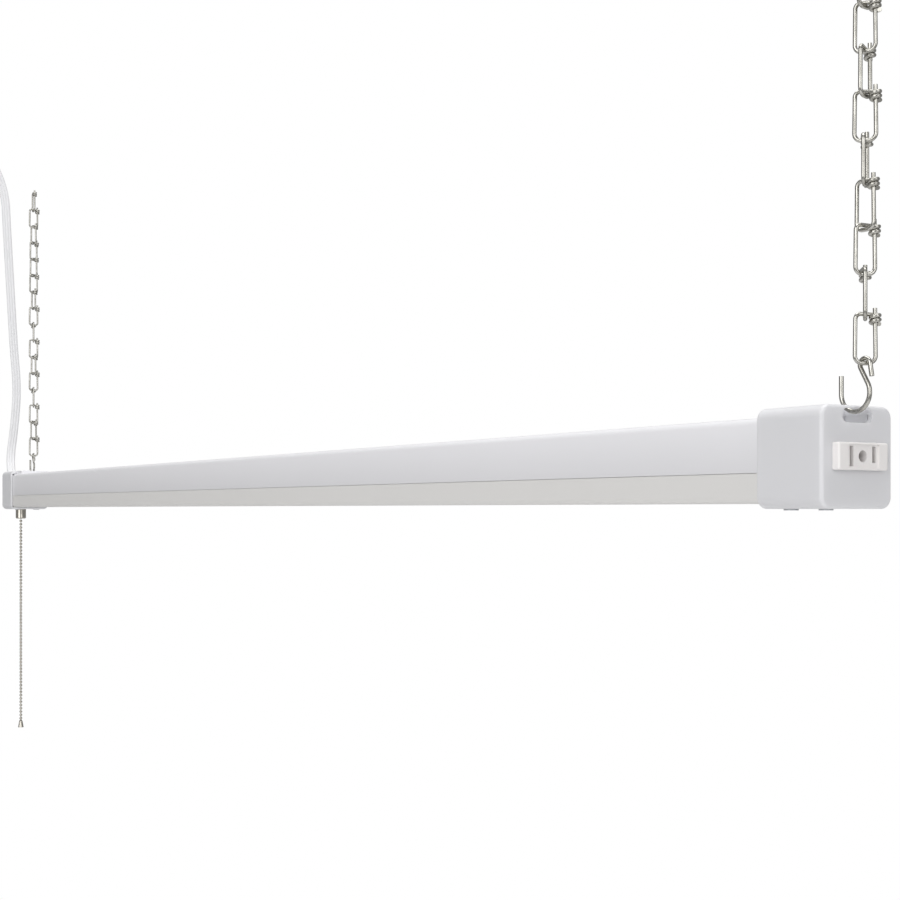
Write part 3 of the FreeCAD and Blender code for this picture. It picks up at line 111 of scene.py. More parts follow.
class NodeKit:
    """Short ways to add and join nodes in one tree."""

    def __init__(self, tree: bpy.types.NodeTree) -> None:
        """Keep the tree.

        Args:
            tree: The node tree that later calls add to.
        """
        self.tree = tree

    def add(self, kind: str, at: Spot = (0, 0), **settings: object) -> bpy.types.Node:
        """Add a node.

        Args:
            kind: The node's type name.
            at: Its place in the node editor.
            **settings: Attributes of the node to set.

        Returns:
            The new node.
        """
        node = self.tree.nodes.new(kind)
        node.location = at
        for name, value in settings.items():
            setattr(node, name, value)
        return node

    def link(self, source: bpy.types.NodeSocket, target: bpy.types.NodeSocket) -> None:
        """Join an output to an input."""
        self.tree.links.new(source, target)

    def feed(self, target: bpy.types.NodeSocket, value: object) -> None:
        """Join a socket to an input, or set the input.

        Args:
            target: The input.
            value: A socket, or a value that the input takes.
        """
        if isinstance(value, bpy.types.NodeSocket):
            self.link(value, target)
        else:
            target.default_value = value

    def fill(self, node: bpy.types.Node, values: dict[str, object]) -> bpy.types.Node:
        """Feed some of a node's inputs.

        Args:
            node: The node.
            values: A socket or a value for each input's name.

        Returns:
            The same node.
        """
        for name, value in values.items():
            self.feed(node.inputs[name], value)
        return node

    def group(
        self, tree: bpy.types.NodeTree, at: Spot, values: dict[str, object]
    ) -> bpy.types.Node:
        """Add a shader node group with its inputs fed.

        Args:
            tree: The group's tree.
            at: Its place in the node editor.
            values: A socket or a value for each input's name.

        Returns:
            The group's node.
        """
        return self.fill(self.add("ShaderNodeGroup", at, node_tree=tree), values)

    def noise(
        self, vector: bpy.types.NodeSocket, scale: object, detail: float, at: Spot
    ) -> bpy.types.NodeSocket:
        """Add a noise texture.

        Args:
            vector: The coordinates.
            scale: A socket or a number.
            detail: How many finer layers it has.
            at: Its place in the node editor.

        Returns:
            The noise, from 0 to 1.
        """
        node = self.add("ShaderNodeTexNoise", at)
        self.fill(node, {"Vector": vector, "Scale": scale, "Detail": detail})
        return node.outputs["Fac"]

    def maths(
        self, operation: str, first: object, second: object, at: Spot = (0, 0)
    ) -> bpy.types.NodeSocket:
        """Add a math node.

        Args:
            operation: The math node's operation.
            first: A socket or a number.
            second: A socket or a number.
            at: Its place in the node editor.

        Returns:
            The node's output.
        """
        node = self.add("ShaderNodeMath", at, operation=operation)
        self.feed(node.inputs[0], first)
        self.feed(node.inputs[1], second)
        return node.outputs[0]

    def swing(
        self, noise: bpy.types.NodeSocket, reach: bpy.types.NodeSocket
    ) -> bpy.types.NodeSocket:
        """Turn a noise from 0 to 1 into one that swings about nought.

        Args:
            noise: The noise.
            reach: The whole width of the swing.

        Returns:
            The swing's socket.
        """
        return self.maths("MULTIPLY", self.maths("SUBTRACT", noise, 0.5), reach)

    def scaled(
        self, colour: bpy.types.NodeSocket, factor: bpy.types.NodeSocket, at: Spot
    ) -> bpy.types.NodeSocket:
        """Multiply a colour by a number.

        Args:
            colour: The colour.
            factor: The number.
            at: The node's place in the node editor.

        Returns:
            The new colour.
        """
        node = self.add("ShaderNodeVectorMath", at, operation="SCALE")
        self.feed(node.inputs[0], colour)
        self.feed(node.inputs["Scale"], factor)
        return node.outputs[0]

    def blend(
        self, factor: object, first: object, second: object, at: Spot
    ) -> bpy.types.NodeSocket:
        """Mix two colours.

        Args:
            factor: A socket or a number from 0 to 1.
            first: The colour, or its socket, at 0.
            second: The colour, or its socket, at 1.
            at: The node's place in the node editor.

        Returns:
            The mixed colour.
        """
        node = self.add("ShaderNodeMix", at, data_type="RGBA")
        for name, kind, value in (
            ("Factor", "VALUE", factor),
            ("A", "RGBA", first),
            ("B", "RGBA", second),
        ):
            self.feed(next(s for s in node.inputs if s.name == name and s.type == kind), value)
        return next(s for s in node.outputs if s.type == "RGBA")


# ---------------------------------------------------------------- shader groups


class GroupName(Enum):
    """Shader node groups that several finishes share."""

    MOULD_GRAIN = "Mould grain"
    METAL_PATINA = "Metal patina"
    SETTLED_DUST = "Settled dust"


class ShaderGroups:
    """Builds each shared shader group once."""

    shade_scale = 9.0  # slow changes of shade
    patch_edges = (0.38, 0.66)  # noise levels where a dull patch starts and where it is whole
    patch_roughness = 0.25  # what a dull patch adds
    mark_scale = 1600.0  # fine draw marks
    cloud_scale = 60.0  # clouds of dust
    surface_outputs = (
        ("Colour", "NodeSocketColor"),
        ("Roughness", "NodeSocketFloat"),
        ("Height", "NodeSocketFloat"),
    )

    def __init__(self) -> None:
        """Build every group."""
        self.groups = {
            GroupName.MOULD_GRAIN: self._mould_grain(),
            GroupName.METAL_PATINA: self._metal_patina(),
            GroupName.SETTLED_DUST: self._settled_dust(),
        }

    @staticmethod
    def _start(name: GroupName, inputs: tuple, outputs: tuple) -> tuple[NodeKit, dict, dict]:
        """Make an empty group with its sockets.

        Args:
            name: The group's name.
            inputs: Name, socket type and default of each input.
            outputs: Name and socket type of each output.
        """
        tree = bpy.data.node_groups.new(name.value, "ShaderNodeTree")
        for label, kind, default in inputs:
            socket = tree.interface.new_socket(label, in_out="INPUT", socket_type=kind)
            if default is not None:
                socket.default_value = default
        for label, kind in outputs:
            tree.interface.new_socket(label, in_out="OUTPUT", socket_type=kind)
        kit = NodeKit(tree)
        entry = kit.add("NodeGroupInput", (-900, 0))
        leave = kit.add("NodeGroupOutput", (700, 0))
        return kit, {s.name: s for s in entry.outputs}, {s.name: s for s in leave.inputs}

    def _mould_grain(self) -> bpy.types.NodeTree:
        """Fine grain of a moulded or stoved surface with slow changes of shade.

        Returns:
            The group's tree.
        """
        kit, given, made = self._start(
            GroupName.MOULD_GRAIN,
            (
                ("Vector", "NodeSocketVector", None),
                ("Colour", "NodeSocketColor", (0.8, 0.8, 0.8, 1)),
                ("Shade", "NodeSocketFloat", 0.04),
                ("Grain scale", "NodeSocketFloat", 2500.0),
                ("Roughness", "NodeSocketFloat", 0.4),
                ("Roughness spread", "NodeSocketFloat", 0.08),
            ),
            self.surface_outputs,
        )
        slow = kit.noise(given["Vector"], self.shade_scale, detail=4, at=(-650, 200))
        fine = kit.noise(given["Vector"], given["Grain scale"], detail=3, at=(-650, -150))
        level = kit.maths("ADD", kit.swing(slow, given["Shade"]), 1.0)
        kit.link(kit.scaled(given["Colour"], level, (200, 200)), made["Colour"])
        spread = kit.swing(fine, given["Roughness spread"])
        kit.link(kit.maths("ADD", given["Roughness"], spread), made["Roughness"])
        kit.link(fine, made["Height"])
        return kit.tree

    def _metal_patina(self) -> bpy.types.NodeTree:
        """Bright metal with duller and rougher patches and fine draw marks.

        Returns:
            The group's tree.
        """
        kit, given, made = self._start(
            GroupName.METAL_PATINA,
            (
                ("Vector", "NodeSocketVector", None),
                ("Bright", "NodeSocketColor", (0.7, 0.7, 0.7, 1)),
                ("Dull", "NodeSocketColor", (0.4, 0.4, 0.4, 1)),
                ("Patch scale", "NodeSocketFloat", 120.0),
                ("Dulling", "NodeSocketFloat", 0.5),
                ("Roughness", "NodeSocketFloat", 0.25),
            ),
            self.surface_outputs,
        )
        patch = kit.noise(given["Vector"], given["Patch scale"], detail=6, at=(-650, 200))
        marks = kit.noise(given["Vector"], self.mark_scale, detail=2, at=(-650, -200))
        start, whole = self.patch_edges
        edge = kit.add("ShaderNodeMapRange", (-400, 200))
        kit.fill(edge, {"Value": patch, "From Min": start, "From Max": whole})
        worn = kit.maths("MULTIPLY", edge.outputs["Result"], given["Dulling"], (-150, 200))
        kit.link(kit.blend(worn, given["Bright"], given["Dull"], (100, 200)), made["Colour"])
        rough = kit.maths("MULTIPLY", worn, self.patch_roughness, (100, -50))
        kit.link(kit.maths("ADD", given["Roughness"], rough, (300, -50)), made["Roughness"])
        kit.link(marks, made["Height"])
        return kit.tree

    def _settled_dust(self) -> bpy.types.NodeTree:
        """Thin dust on what faces up.

        Returns:
            The group's tree.
        """
        kit, given, made = self._start(
            GroupName.SETTLED_DUST,
            (
                ("Vector", "NodeSocketVector", None),
                ("Colour", "NodeSocketColor", (0.8, 0.8, 0.8, 1)),
                ("Dust", "NodeSocketColor", (0.62, 0.6, 0.56, 1)),
                ("Amount", "NodeSocketFloat", 0.15),
            ),
            (("Colour", "NodeSocketColor"),),
        )
        facing = kit.add("ShaderNodeNewGeometry", (-650, 250))
        split = kit.add("ShaderNodeSeparateXYZ", (-450, 250))
        kit.link(facing.outputs["Normal"], split.inputs[0])
        up = kit.maths("MAXIMUM", split.outputs["Z"], 0.0, (-250, 250))
        cloud = kit.noise(given["Vector"], self.cloud_scale, detail=5, at=(-650, -50))
        mask = kit.maths("MULTIPLY", kit.maths("MULTIPLY", up, cloud), given["Amount"])
        kit.link(kit.blend(mask, given["Colour"], given["Dust"], (300, 200)), made["Colour"])
        return kit.tree


# ---------------------------------------------------------------- finishes


@dataclass(frozen=True)
class MouldedFinish:
    """A plastic, painted or coated surface."""

    name: str
    colour: Triple
    roughness: float
    shade: float  # how far the shade changes over the surface
    grain: float  # scale of the fine grain
    grain_height: float
    dust: float = 0.0
    coat: float = 0.0
    coat_roughness: float = 0.12
    translucency: float = 0.0
    scatter_depth: float = 4 * MM  # how far light goes into it
    painted_shade: float = 0.0  # painted shade: how much darker the low end is
    painted_shade_span: tuple[float, float] = (-0.3236, -0.3009)  # heights of the painted shade's low end and its high one

    def build(self, groups: ShaderGroups) -> bpy.types.Material:
        """Make the material.

        Args:
            groups: The shared shader groups.

        Returns:
            The material.
        """
        material, kit, shader, coordinates = start_surface(self.name)
        surface = kit.group(
            groups.groups[GroupName.MOULD_GRAIN],
            (-600, 0),
            {
                "Vector": coordinates,
                "Colour": (*self.colour, 1),
                "Shade": self.shade,
                "Grain scale": self.grain,
                "Roughness": self.roughness,
            },
        )
        colour = surface.outputs["Colour"]
        # Painted shade: the colour darkens towards the surface's low end.
        if self.painted_shade:
            colour = self._with_painted_shade(kit, coordinates, colour)
        if self.dust:
            values = {"Vector": coordinates, "Colour": colour, "Amount": self.dust}
            tree = groups.groups[GroupName.SETTLED_DUST]
            colour = kit.group(tree, (-350, 150), values).outputs["Colour"]
        finish_surface(kit, shader, surface, colour, self.grain_height)
        kit.fill(shader, {"Coat Weight": self.coat, "Coat Roughness": self.coat_roughness})
        if self.translucency:
            kit.fill(
                shader,
                {
                    "Subsurface Weight": self.translucency,
                    "Subsurface Radius": (1.0, 1.0, 1.0),
                    "Subsurface Scale": self.scatter_depth,
                },
            )
        return material

    def _with_painted_shade(
        self, kit: NodeKit, coordinates: bpy.types.NodeSocket, colour: bpy.types.NodeSocket
    ) -> bpy.types.NodeSocket:
        """Paint shade onto a colour: darker towards the surface's low end.

        Args:
            coordinates: The object's coordinates.
            colour: The colour.

        Returns:
            The darkened colour.
        """
        split = kit.add("ShaderNodeSeparateXYZ", (-600, 300))
        kit.link(coordinates, split.inputs[0])
        low, high = self.painted_shade_span
        level = kit.add("ShaderNodeMapRange", (-450, 300))
        kit.fill(level, {"From Min": low, "From Max": high, "To Min": 1 - self.painted_shade})
        kit.link(split.outputs["Z"], level.inputs["Value"])
        return kit.scaled(colour, level.outputs["Result"], (-300, 300))


@dataclass(frozen=True)
class MetalFinish:
    """Bare or plated metal."""

    name: str
    bright: Triple
    dull: Triple
    roughness: float
    dulling: float  # how dull a whole patch gets
    patch_scale: float
    mark_height: float = 0.0015 * MM

    def build(self, groups: ShaderGroups) -> bpy.types.Material:
        """Make the material.

        Args:
            groups: The shared shader groups.

        Returns:
            The material.
        """
        material, kit, shader, coordinates = start_surface(self.name)
        surface = kit.group(
            groups.groups[GroupName.METAL_PATINA],
            (-600, 0),
            {
                "Vector": coordinates,
                "Bright": (*self.bright, 1),
                "Dull": (*self.dull, 1),
                "Patch scale": self.patch_scale,
                "Dulling": self.dulling,
                "Roughness": self.roughness,
            },
        )
        finish_surface(kit, shader, surface, surface.outputs["Colour"], self.mark_height)
        shader.inputs["Metallic"].default_value = 1.0
        return material


def start_material(name: str) -> tuple[bpy.types.Material, NodeKit, bpy.types.Node]:
    """Make a material with a plain Principled shader.

    Args:
        name: The material's name.
    """
    material = bpy.data.materials.new(name)
    material.use_nodes = True
    kit = NodeKit(material.node_tree)
    return material, kit, material.node_tree.nodes["Principled BSDF"]


def start_surface(
    name: str,
) -> tuple[bpy.types.Material, NodeKit, bpy.types.Node, bpy.types.NodeSocket]:
    """Make a material whose patterns follow the object's coordinates.

    Args:
        name: The material's name.
    """
    material, kit, shader = start_material(name)
    return material, kit, shader, kit.add("ShaderNodeTexCoord", (-900, 0)).outputs["Object"]


def finish_surface(
    kit: NodeKit,
    shader: bpy.types.Node,
    surface: bpy.types.Node,
    colour: bpy.types.NodeSocket,
    height: float,
) -> None:
    """Join a surface group to its material's shader.

    Args:
        shader: The material's shader.
        surface: The group's node.
        colour: The colour to use.
        height: Real height of the group's relief.
    """
    bump = kit.add("ShaderNodeBump", (-250, -300))
    kit.fill(bump, {"Distance": height, "Height": surface.outputs["Height"]})
    kit.fill(
        shader,
        {
            "Base Color": colour,
            "Roughness": surface.outputs["Roughness"],
            "Normal": bump.outputs["Normal"],
        },
    )


FINISHES: dict[str, MouldedFinish | MetalFinish] = {
    "white_enamel": MouldedFinish(
        "White enamel",
        (0.87, 0.865, 0.89),
        roughness=0.3,
        shade=0.03,
        grain=1400,
        grain_height=0.01 * MM,
        dust=0.1,
        coat=0.15,
        # painted shade: the enamel darkens towards its low end
        painted_shade=0.16,
    ),
    "diffuser": MouldedFinish(
        "Frosted diffuser",
        (0.73, 0.72, 0.705),
        roughness=0.5,
        shade=0.02,
        grain=3200,
        grain_height=0.01 * MM,
        translucency=0.15,
    ),
    "white_plastic": MouldedFinish(
        "White moulding",
        (0.74, 0.74, 0.765),
        roughness=0.42,
        shade=0.03,
        grain=2600,
        grain_height=0.02 * MM,
        dust=0.1,
        translucency=0.3,
        scatter_depth=8 * MM,
    ),
    "socket_plastic": MouldedFinish(
        "Outlet moulding",
        (0.86, 0.835, 0.825),
        roughness=0.3,
        shade=0.03,
        grain=2600,
        grain_height=0.01 * MM,
        coat=0.2,
    ),
    "zinc_wire": MetalFinish(
        "Bright zinc wire",
        bright=(0.52, 0.51, 0.475),
        dull=(0.3, 0.29, 0.255),
        roughness=0.19,
        dulling=0.5,
        patch_scale=160,
    ),
    "nickel": MetalFinish(
        "Nickel plate",
        bright=(0.55, 0.525, 0.47),
        dull=(0.36, 0.335, 0.29),
        roughness=0.15,
        dulling=0.4,
        patch_scale=260,
    ),
    "galvanised": MetalFinish(
        "Galvanised sheet",
        bright=(0.66, 0.67, 0.69),
        dull=(0.48, 0.5, 0.53),
        roughness=0.38,
        dulling=0.8,
        patch_scale=90,
    ),
    "white_board": MouldedFinish(
        "White circuit board",
        (0.86, 0.87, 0.87),
        roughness=0.35,
        shade=0.02,
        grain=900,
        grain_height=0.01 * MM,
    ),
    "chip": MouldedFinish(
        "Yellow phosphor",
        (0.86, 0.72, 0.2),
        roughness=0.35,
        shade=0.08,
        grain=3000,
        grain_height=0.02 * MM,
    ),
    "green_board": MouldedFinish(
        "Green circuit board",
        (0.035, 0.2, 0.07),
        roughness=0.3,
        shade=0.12,
        grain=1200,
        grain_height=0.02 * MM,
        coat=0.3,
    ),
    "black_plastic": MouldedFinish(
        "Black moulding",
        (0.018, 0.018, 0.019),
        roughness=0.42,
        shade=0.2,
        grain=2600,
        grain_height=0.02 * MM,
    ),
    "ferrite": MouldedFinish(
        "Ferrite and tape",
        (0.055, 0.05, 0.048),
        roughness=0.55,
        shade=0.3,
        grain=900,
        grain_height=0.04 * MM,
    ),
    "brass_parts": MetalFinish(
        "Plain brass",
        bright=(0.78, 0.6, 0.27),
        dull=(0.5, 0.34, 0.13),
        roughness=0.22,
        dulling=0.5,
        patch_scale=240,
    ),
    "white_cord": MouldedFinish(
        "White cord jacket",
        (0.82, 0.82, 0.835),
        roughness=0.38,
        shade=0.04,
        grain=2200,
        grain_height=0.02 * MM,
        dust=0.05,
    ),
    "wire_cover": MouldedFinish(
        "Wire insulation",
        (0.05, 0.05, 0.055),
        roughness=0.4,
        shade=0.15,
        grain=2000,
        grain_height=0.02 * MM,
    ),
}


class Paintshop:
    """Holds one material for each of the record's slots."""

    def __init__(self) -> None:
        """Build the groups and every finish."""
        groups = ShaderGroups()
        self.materials = {slot: finish.build(groups) for slot, finish in FINISHES.items()}

    def dress(self, piece: bpy.types.Object, slot: str) -> None:
        """Give a piece one slot's finish.

        Args:
            piece: A mesh object.
            slot: The record's material slot.
        """
        material = self.materials[slot]
        if not piece.data.materials:
            piece.data.materials.append(material)
        for place in piece.material_slots:
            place.material = material

    def dress_nodes(self, frame: dict) -> None:
        """Give every node of the frame its slot's finish.
        """
        for entry in frame["record"]["subparts"]:
            self.dress(frame["nodes"][entry["node"]], entry["material_slot"])


# ---------------------------------------------------------------- mesh helpers


def put(name: str, data: bpy.types.ID) -> bpy.types.Object:
    """Put a mesh, a curve, a lamp or a camera in the scene.

    Args:
        name: The object's name.
        data: What it holds.

    Returns:
        The new object, at the origin.
    """
    piece = bpy.data.objects.new(name, data)
    bpy.context.scene.collection.objects.link(piece)
    return piece


def smooth(mesh: bpy.types.Mesh) -> None:
    """Shade every face of a mesh smoothly."""
    mesh.polygons.foreach_set("use_smooth", [True] * len(mesh.polygons))
    mesh.update()


def finished_mesh(name: str, shape: bmesh.types.BMesh) -> bpy.types.Mesh:
    """Turn a mesh in the making into a mesh, and free it.

    Args:
        name: The mesh's name.
        shape: The mesh in the making.

    Returns:
        The mesh.
    """
    mesh = bpy.data.meshes.new(name)
    shape.to_mesh(mesh)
    shape.free()
    return mesh


def swept_mesh(
    name: str, line: list[Vector], outline: list[tuple[float, float]], across: Vector
) -> bpy.types.Mesh:
    """Sweep an outline along a line, with its first axis held near a fixed direction.

    Args:
        name: The mesh's name.
        line: The points that the sweep follows.
        outline: Points of the section, each along the width and along the thickness.
        across: The direction that the width keeps to.

    Returns:
        A closed tube with flat ends.
    """
    shape = bmesh.new()
    rings = []
    for n, point in enumerate(line):
        ahead = line[min(n + 1, len(line) - 1)] - line[max(n - 1, 0)]
        heading = ahead.normalized()
        width = (across - heading * across.dot(heading)).normalized()
        thick = heading.cross(width)
        rings.append([shape.verts.new(point + width * a + thick * b) for a, b in outline])
    for ring, following in zip(rings, rings[1:]):
        for n in range(len(outline)):
            after = (n + 1) % len(outline)
            shape.faces.new((ring[n], ring[after], following[after], following[n]))
    shape.faces.new(list(reversed(rings[0])))
    shape.faces.new(rings[-1])
    bmesh.ops.recalc_face_normals(shape, faces=shape.faces)
    mesh = finished_mesh(name, shape)
    smooth(mesh)
    return mesh


def new_spline(name: str, kind: str, points: list[Vector]) -> bpy.types.Curve:
    """Make a curve with one spline.

    Args:
        name: The curve's name.
        kind: The spline's type, POLY or NURBS.
        points: The spline's points.

    Returns:
        The curve.
    """
    curve = bpy.data.curves.new(name, "CURVE")
    curve.dimensions = "3D"
    spline = curve.splines.new(kind)
    spline.points.add(len(points) - 1)
    for point, place in zip(spline.points, points):
        point.co = (*place, 1)
    return curve


def spline_points(name: str, controls: list[Vector], resolution: int) -> list[Vector]:
    """Points of the smooth line that a route's control points give.

    Args:
        name: A name for the short-lived curve.
        controls: The route's points.
        resolution: Steps between two control points.

    Returns:
        The line's points, from first to last.
    """
    curve = new_spline(name, "NURBS", controls)
    spline = curve.splines[0]
    spline.order_u = 3  # keeps the line close to its points
    spline.use_endpoint_u = True
    spline.resolution_u = resolution
    holder = put(name, curve)
    mesh = bpy.data.meshes.new_from_object(holder)
    line = [vertex.co.copy() for vertex in mesh.vertices]
    bpy.data.meshes.remove(mesh)
    bpy.data.objects.remove(holder)
    bpy.data.curves.remove(curve)
    return line


def set_input(modifier: bpy.types.Modifier, label: str, value: object) -> None:
    """Set a Geometry Nodes input by its label.

    Args:
        modifier: The Nodes modifier.
        label: The input's name in its tree.
        value: The value.
    """
    for item in modifier.node_group.interface.items_tree:
        if item.item_type == "SOCKET" and item.in_out == "INPUT" and item.name == label:
            modifier[item.identifier] = value
            return
    raise KeyError(label)


def baked(name: str, piece: bpy.types.Object) -> bpy.types.Object:
    """Turn a piece with a Nodes modifier into a plain mesh object.

    Args:
        name: The new object's name.
        piece: The piece, which is removed.

    Returns:
        The plain mesh object.
    """
    depsgraph = bpy.context.evaluated_depsgraph_get()
    mesh = bpy.data.meshes.new_from_object(piece.evaluated_get(depsgraph), depsgraph=depsgraph)
    mesh.name = name
    bpy.data.objects.remove(piece)
    smooth(mesh)
    return put(name, mesh)


# ---------------------------------------------------------------- camera, lamps and floor


def aimed(name: str, data: bpy.types.ID, place: Triple, heading: Vector) -> bpy.types.Object:
    """Put a camera or a lamp in the scene.

    Args:
        name: The object's name.
        data: The camera or the lamp.
        place: Where it is.
        heading: The direction that it faces.

    Returns:
        The new object.
    """
    thing = put(name, data)
    thing.location = place
    thing.rotation_mode = "QUATERNION"
    thing.rotation_quaternion = heading.to_track_quat("-Z", "Y")
    return thing


@dataclass(frozen=True)
class Lamp:
    """A large soft square lamp."""

    name: str
    place: Triple
    aim: Triple  # the point that it faces
    side: float
    watts: float

    def hang(self) -> None:
        """Put the lamp in the scene."""
        data = bpy.data.lights.new(self.name, "AREA")
        data.size = self.side
        data.energy = self.watts
        aimed(self.name, data, self.place, Vector(self.aim) - Vector(self.place))


@dataclass
class Studio:
    """Camera, lamps, sky and floor."""

    camera_place: Triple = (0.9965, -0.4372, -0.3385)
    camera_turn: float = 31.96  # degrees from straight along -X towards +Y
    focal_pixels: float = 1436.7
    horizon_row: float = 509.2
    nearest: float = 0.02  # the camera sees nothing nearer
    farthest: float = 100.0
    lamps: tuple[Lamp, ...] = (
        Lamp("Front lamp", (1.5, -2.5, 0.5), (0.3, 0, -0.3), side=2.2, watts=39),
        Lamp("Top lamp", (0.2, 0.2, 2.4), (0, 0, -0.3), side=2.6, watts=66),
        Lamp("End lamp", (3.1, 0.1, 0.2), (0.2, 0, -0.3), side=1.6, watts=15),
    )
    sky_level: float = 0.34
    floor_drop: float = 0.75  # floor below the light
    floor_radius: float = 2.4
    floor_sides: int = 96
    floor_colour: tuple[float, ...] = (0.9, 0.9, 0.9, 1)
    floor_roughness: float = 0.8
    floor_glow: float = 0.3  # brightness that only the camera sees

    def build_camera(self) -> None:
        """Place the camera level, at the photograph's viewpoint."""
        data = bpy.data.cameras.new("Camera")
        data.lens = self.focal_pixels / PHOTO_SIDE * SENSOR
        data.sensor_width = SENSOR
        data.shift_y = (self.horizon_row - PHOTO_SIDE / 2) / PHOTO_SIDE
        data.clip_start, data.clip_end = self.nearest, self.farthest
        turn = math.radians(self.camera_turn)
        heading = Vector((-math.cos(turn), math.sin(turn), 0))
        bpy.context.scene.camera = aimed("Camera", data, self.camera_place, heading)

    def build_lamps(self) -> None:
        """Hang the lamps and set the plain sky."""
        for lamp in self.lamps:
            lamp.hang()
        world = bpy.data.worlds.new("Plain sky")
        bpy.context.scene.world = world
        world.use_nodes = True
        kit = NodeKit(world.node_tree)
        strength = self._seen_level(kit, self.sky_level, 1.0)
        kit.fill(world.node_tree.nodes["Background"], {"Color": WHITE, "Strength": strength})

    def build_floor(self, low: float) -> None:
        """Lay the pale floor.

        Args:
            low: The object's lowest height.
        """
        shape = bmesh.new()
        sides, radius = self.floor_sides, self.floor_radius
        bmesh.ops.create_circle(shape, cap_ends=True, segments=sides, radius=radius)
        for vertex in shape.verts:
            vertex.co.z = low - self.floor_drop
        floor = put("Floor", finished_mesh("Floor", shape))
        material, kit, shader = start_material("Pale floor")
        kit.fill(
            shader,
            {
                "Base Color": self.floor_colour,
                "Roughness": self.floor_roughness,
                "Emission Color": WHITE,
                "Emission Strength": self._seen_level(kit, 0.0, self.floor_glow),
            },
        )
        floor.data.materials.append(material)
        floor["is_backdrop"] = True

    @staticmethod
    def _seen_level(kit: NodeKit, lit: float, seen: float) -> bpy.types.NodeSocket:
        """A level for what lights the object, and another for what the camera sees.

        Args:
            lit: The level that lights the object.
            seen: The level that the camera sees.

        Returns:
            The level's socket.
        """
        path = kit.add("ShaderNodeLightPath", (-900, 300))
        extra = kit.maths("MULTIPLY", path.outputs["Is Camera Ray"], seen - lit, (-700, 300))
        return kit.maths("ADD", extra, lit, (-500, 300))


# ---------------------------------------------------------------- power cord


@dataclass
class PowerCord:
    """Flat three-wire cord with its put-away coil and its tail.

    Its heights count from the caps' underside.
    """

    base: float  # height of the caps' underside in the frame
    width: float = 9.5 * MM
    thickness: float = 3.6 * MM
    groove_depth: float = 0.6 * MM
    groove_width: float = 0.45 * MM
    flat_steps: int = 18  # over the section's flat side
    edge_steps: int = 8  # round each of its edges
    real_length: float = 1.455
    coil_radius: float = 50 * MM
    coil_step: float = 10.4 * MM  # from turn to turn
    coil_turns: int = 3
    coil_start: tuple[float, float] = (-0.6820, -0.0220)  # X and Y where its first turn begins
    coil_height: float = 455 * MM
    tail_length: float = 32 * MM
    last_run: float = 27 * MM  # straight run up to the coil
    points_per_turn: int = 16
    line_steps: int = 12  # between two points of the route
    route: tuple[Triple, ...] = (
        (-0.6240, 0.0070, 0.0290),
        (-0.6480, 0.0070, 0.0290),
        (-0.6696, 0.0084, 0.0415),
        (-0.6820, 0.0110, 0.0630),
        (-0.6826, 0.0152, 0.0910),
        (-0.6814, 0.0188, 0.1380),
        (-0.6822, 0.0148, 0.1860),
        (-0.6818, 0.0124, 0.2270),
        (-0.6824, 0.0102, 0.2680),
        (-0.6817, 0.0070, 0.3200),
        (-0.6822, 0.0046, 0.3720),
    )

    def controls(self) -> list[Vector]:
        """The route's points, then the coil's by a loop, then the tail's.

        Returns:
            Control points in the frame's axes.
        """
        rise = self.coil_step / (2 * math.pi * self.coil_radius)
        along = Vector((0, -rise, 1)).normalized()
        start = Vector((*self.coil_start, self.coil_height))
        points = [Vector(point) for point in self.route]
        lead_in = start - along * self.width
        points += [lead_in - along * self.last_run, lead_in]
        centre = start - Vector((self.coil_radius, 0, 0))
        reach = self.coil_radius / math.cos(math.pi / self.points_per_turn)
        for n in range(self.coil_turns * self.points_per_turn):
            angle = 2 * math.pi * (n + 0.5) / self.points_per_turn
            down = self.coil_step * angle / (2 * math.pi)
            around = Vector((reach * math.cos(angle), -down, reach * math.sin(angle)))
            points.append(centre + around)
        end = start + Vector((0, -self.coil_step * self.coil_turns, 0))
        points.append(end + along * self.width)
        points.append(end + along * (self.width + self.tail_length))
        return [point + Vector((0, 0, self.base)) for point in points]

    def outline(self) -> list[tuple[float, float]]:
        """Section of the cord: three lobes side by side.

        Returns:
            Points of the section, along the width and the thickness.
        """
        half, flat = self.thickness / 2, (self.width - self.thickness) / 2
        points = []
        for n in range(self.flat_steps + 1):
            across = flat * (1 - 2 * n / self.flat_steps)
            offs = [(across - side * flat / 2) / self.groove_width for side in (-1, 1)]
            dip = sum(math.exp(-(off**2)) for off in offs)
            points.append((across, half - self.groove_depth * dip))
        for n in range(1, self.edge_steps):
            angle = math.pi * n / self.edge_steps
            points.append((-flat - half * math.sin(angle), half * math.cos(angle)))
        return points + [(-a, -b) for a, b in points]

    def build(self, shop: Paintshop, frame: dict) -> bpy.types.Object:
        """Args:
            shop: The finishes.

        Returns:
            The cord.
        """
        line = spline_points("Cord route", self.controls(), self.line_steps)
        mesh = swept_mesh("power_cord_jacket", line, self.outline(), across=Vector((0, 1, 0)))
        cord = put("power_cord_jacket", mesh)
        shop.dress(cord, "white_cord")
        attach(cord, "light")
        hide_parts("power_cord", "cord_coil", "cord_tail")
        return cord


# ---------------------------------------------------------------- hanger pocket


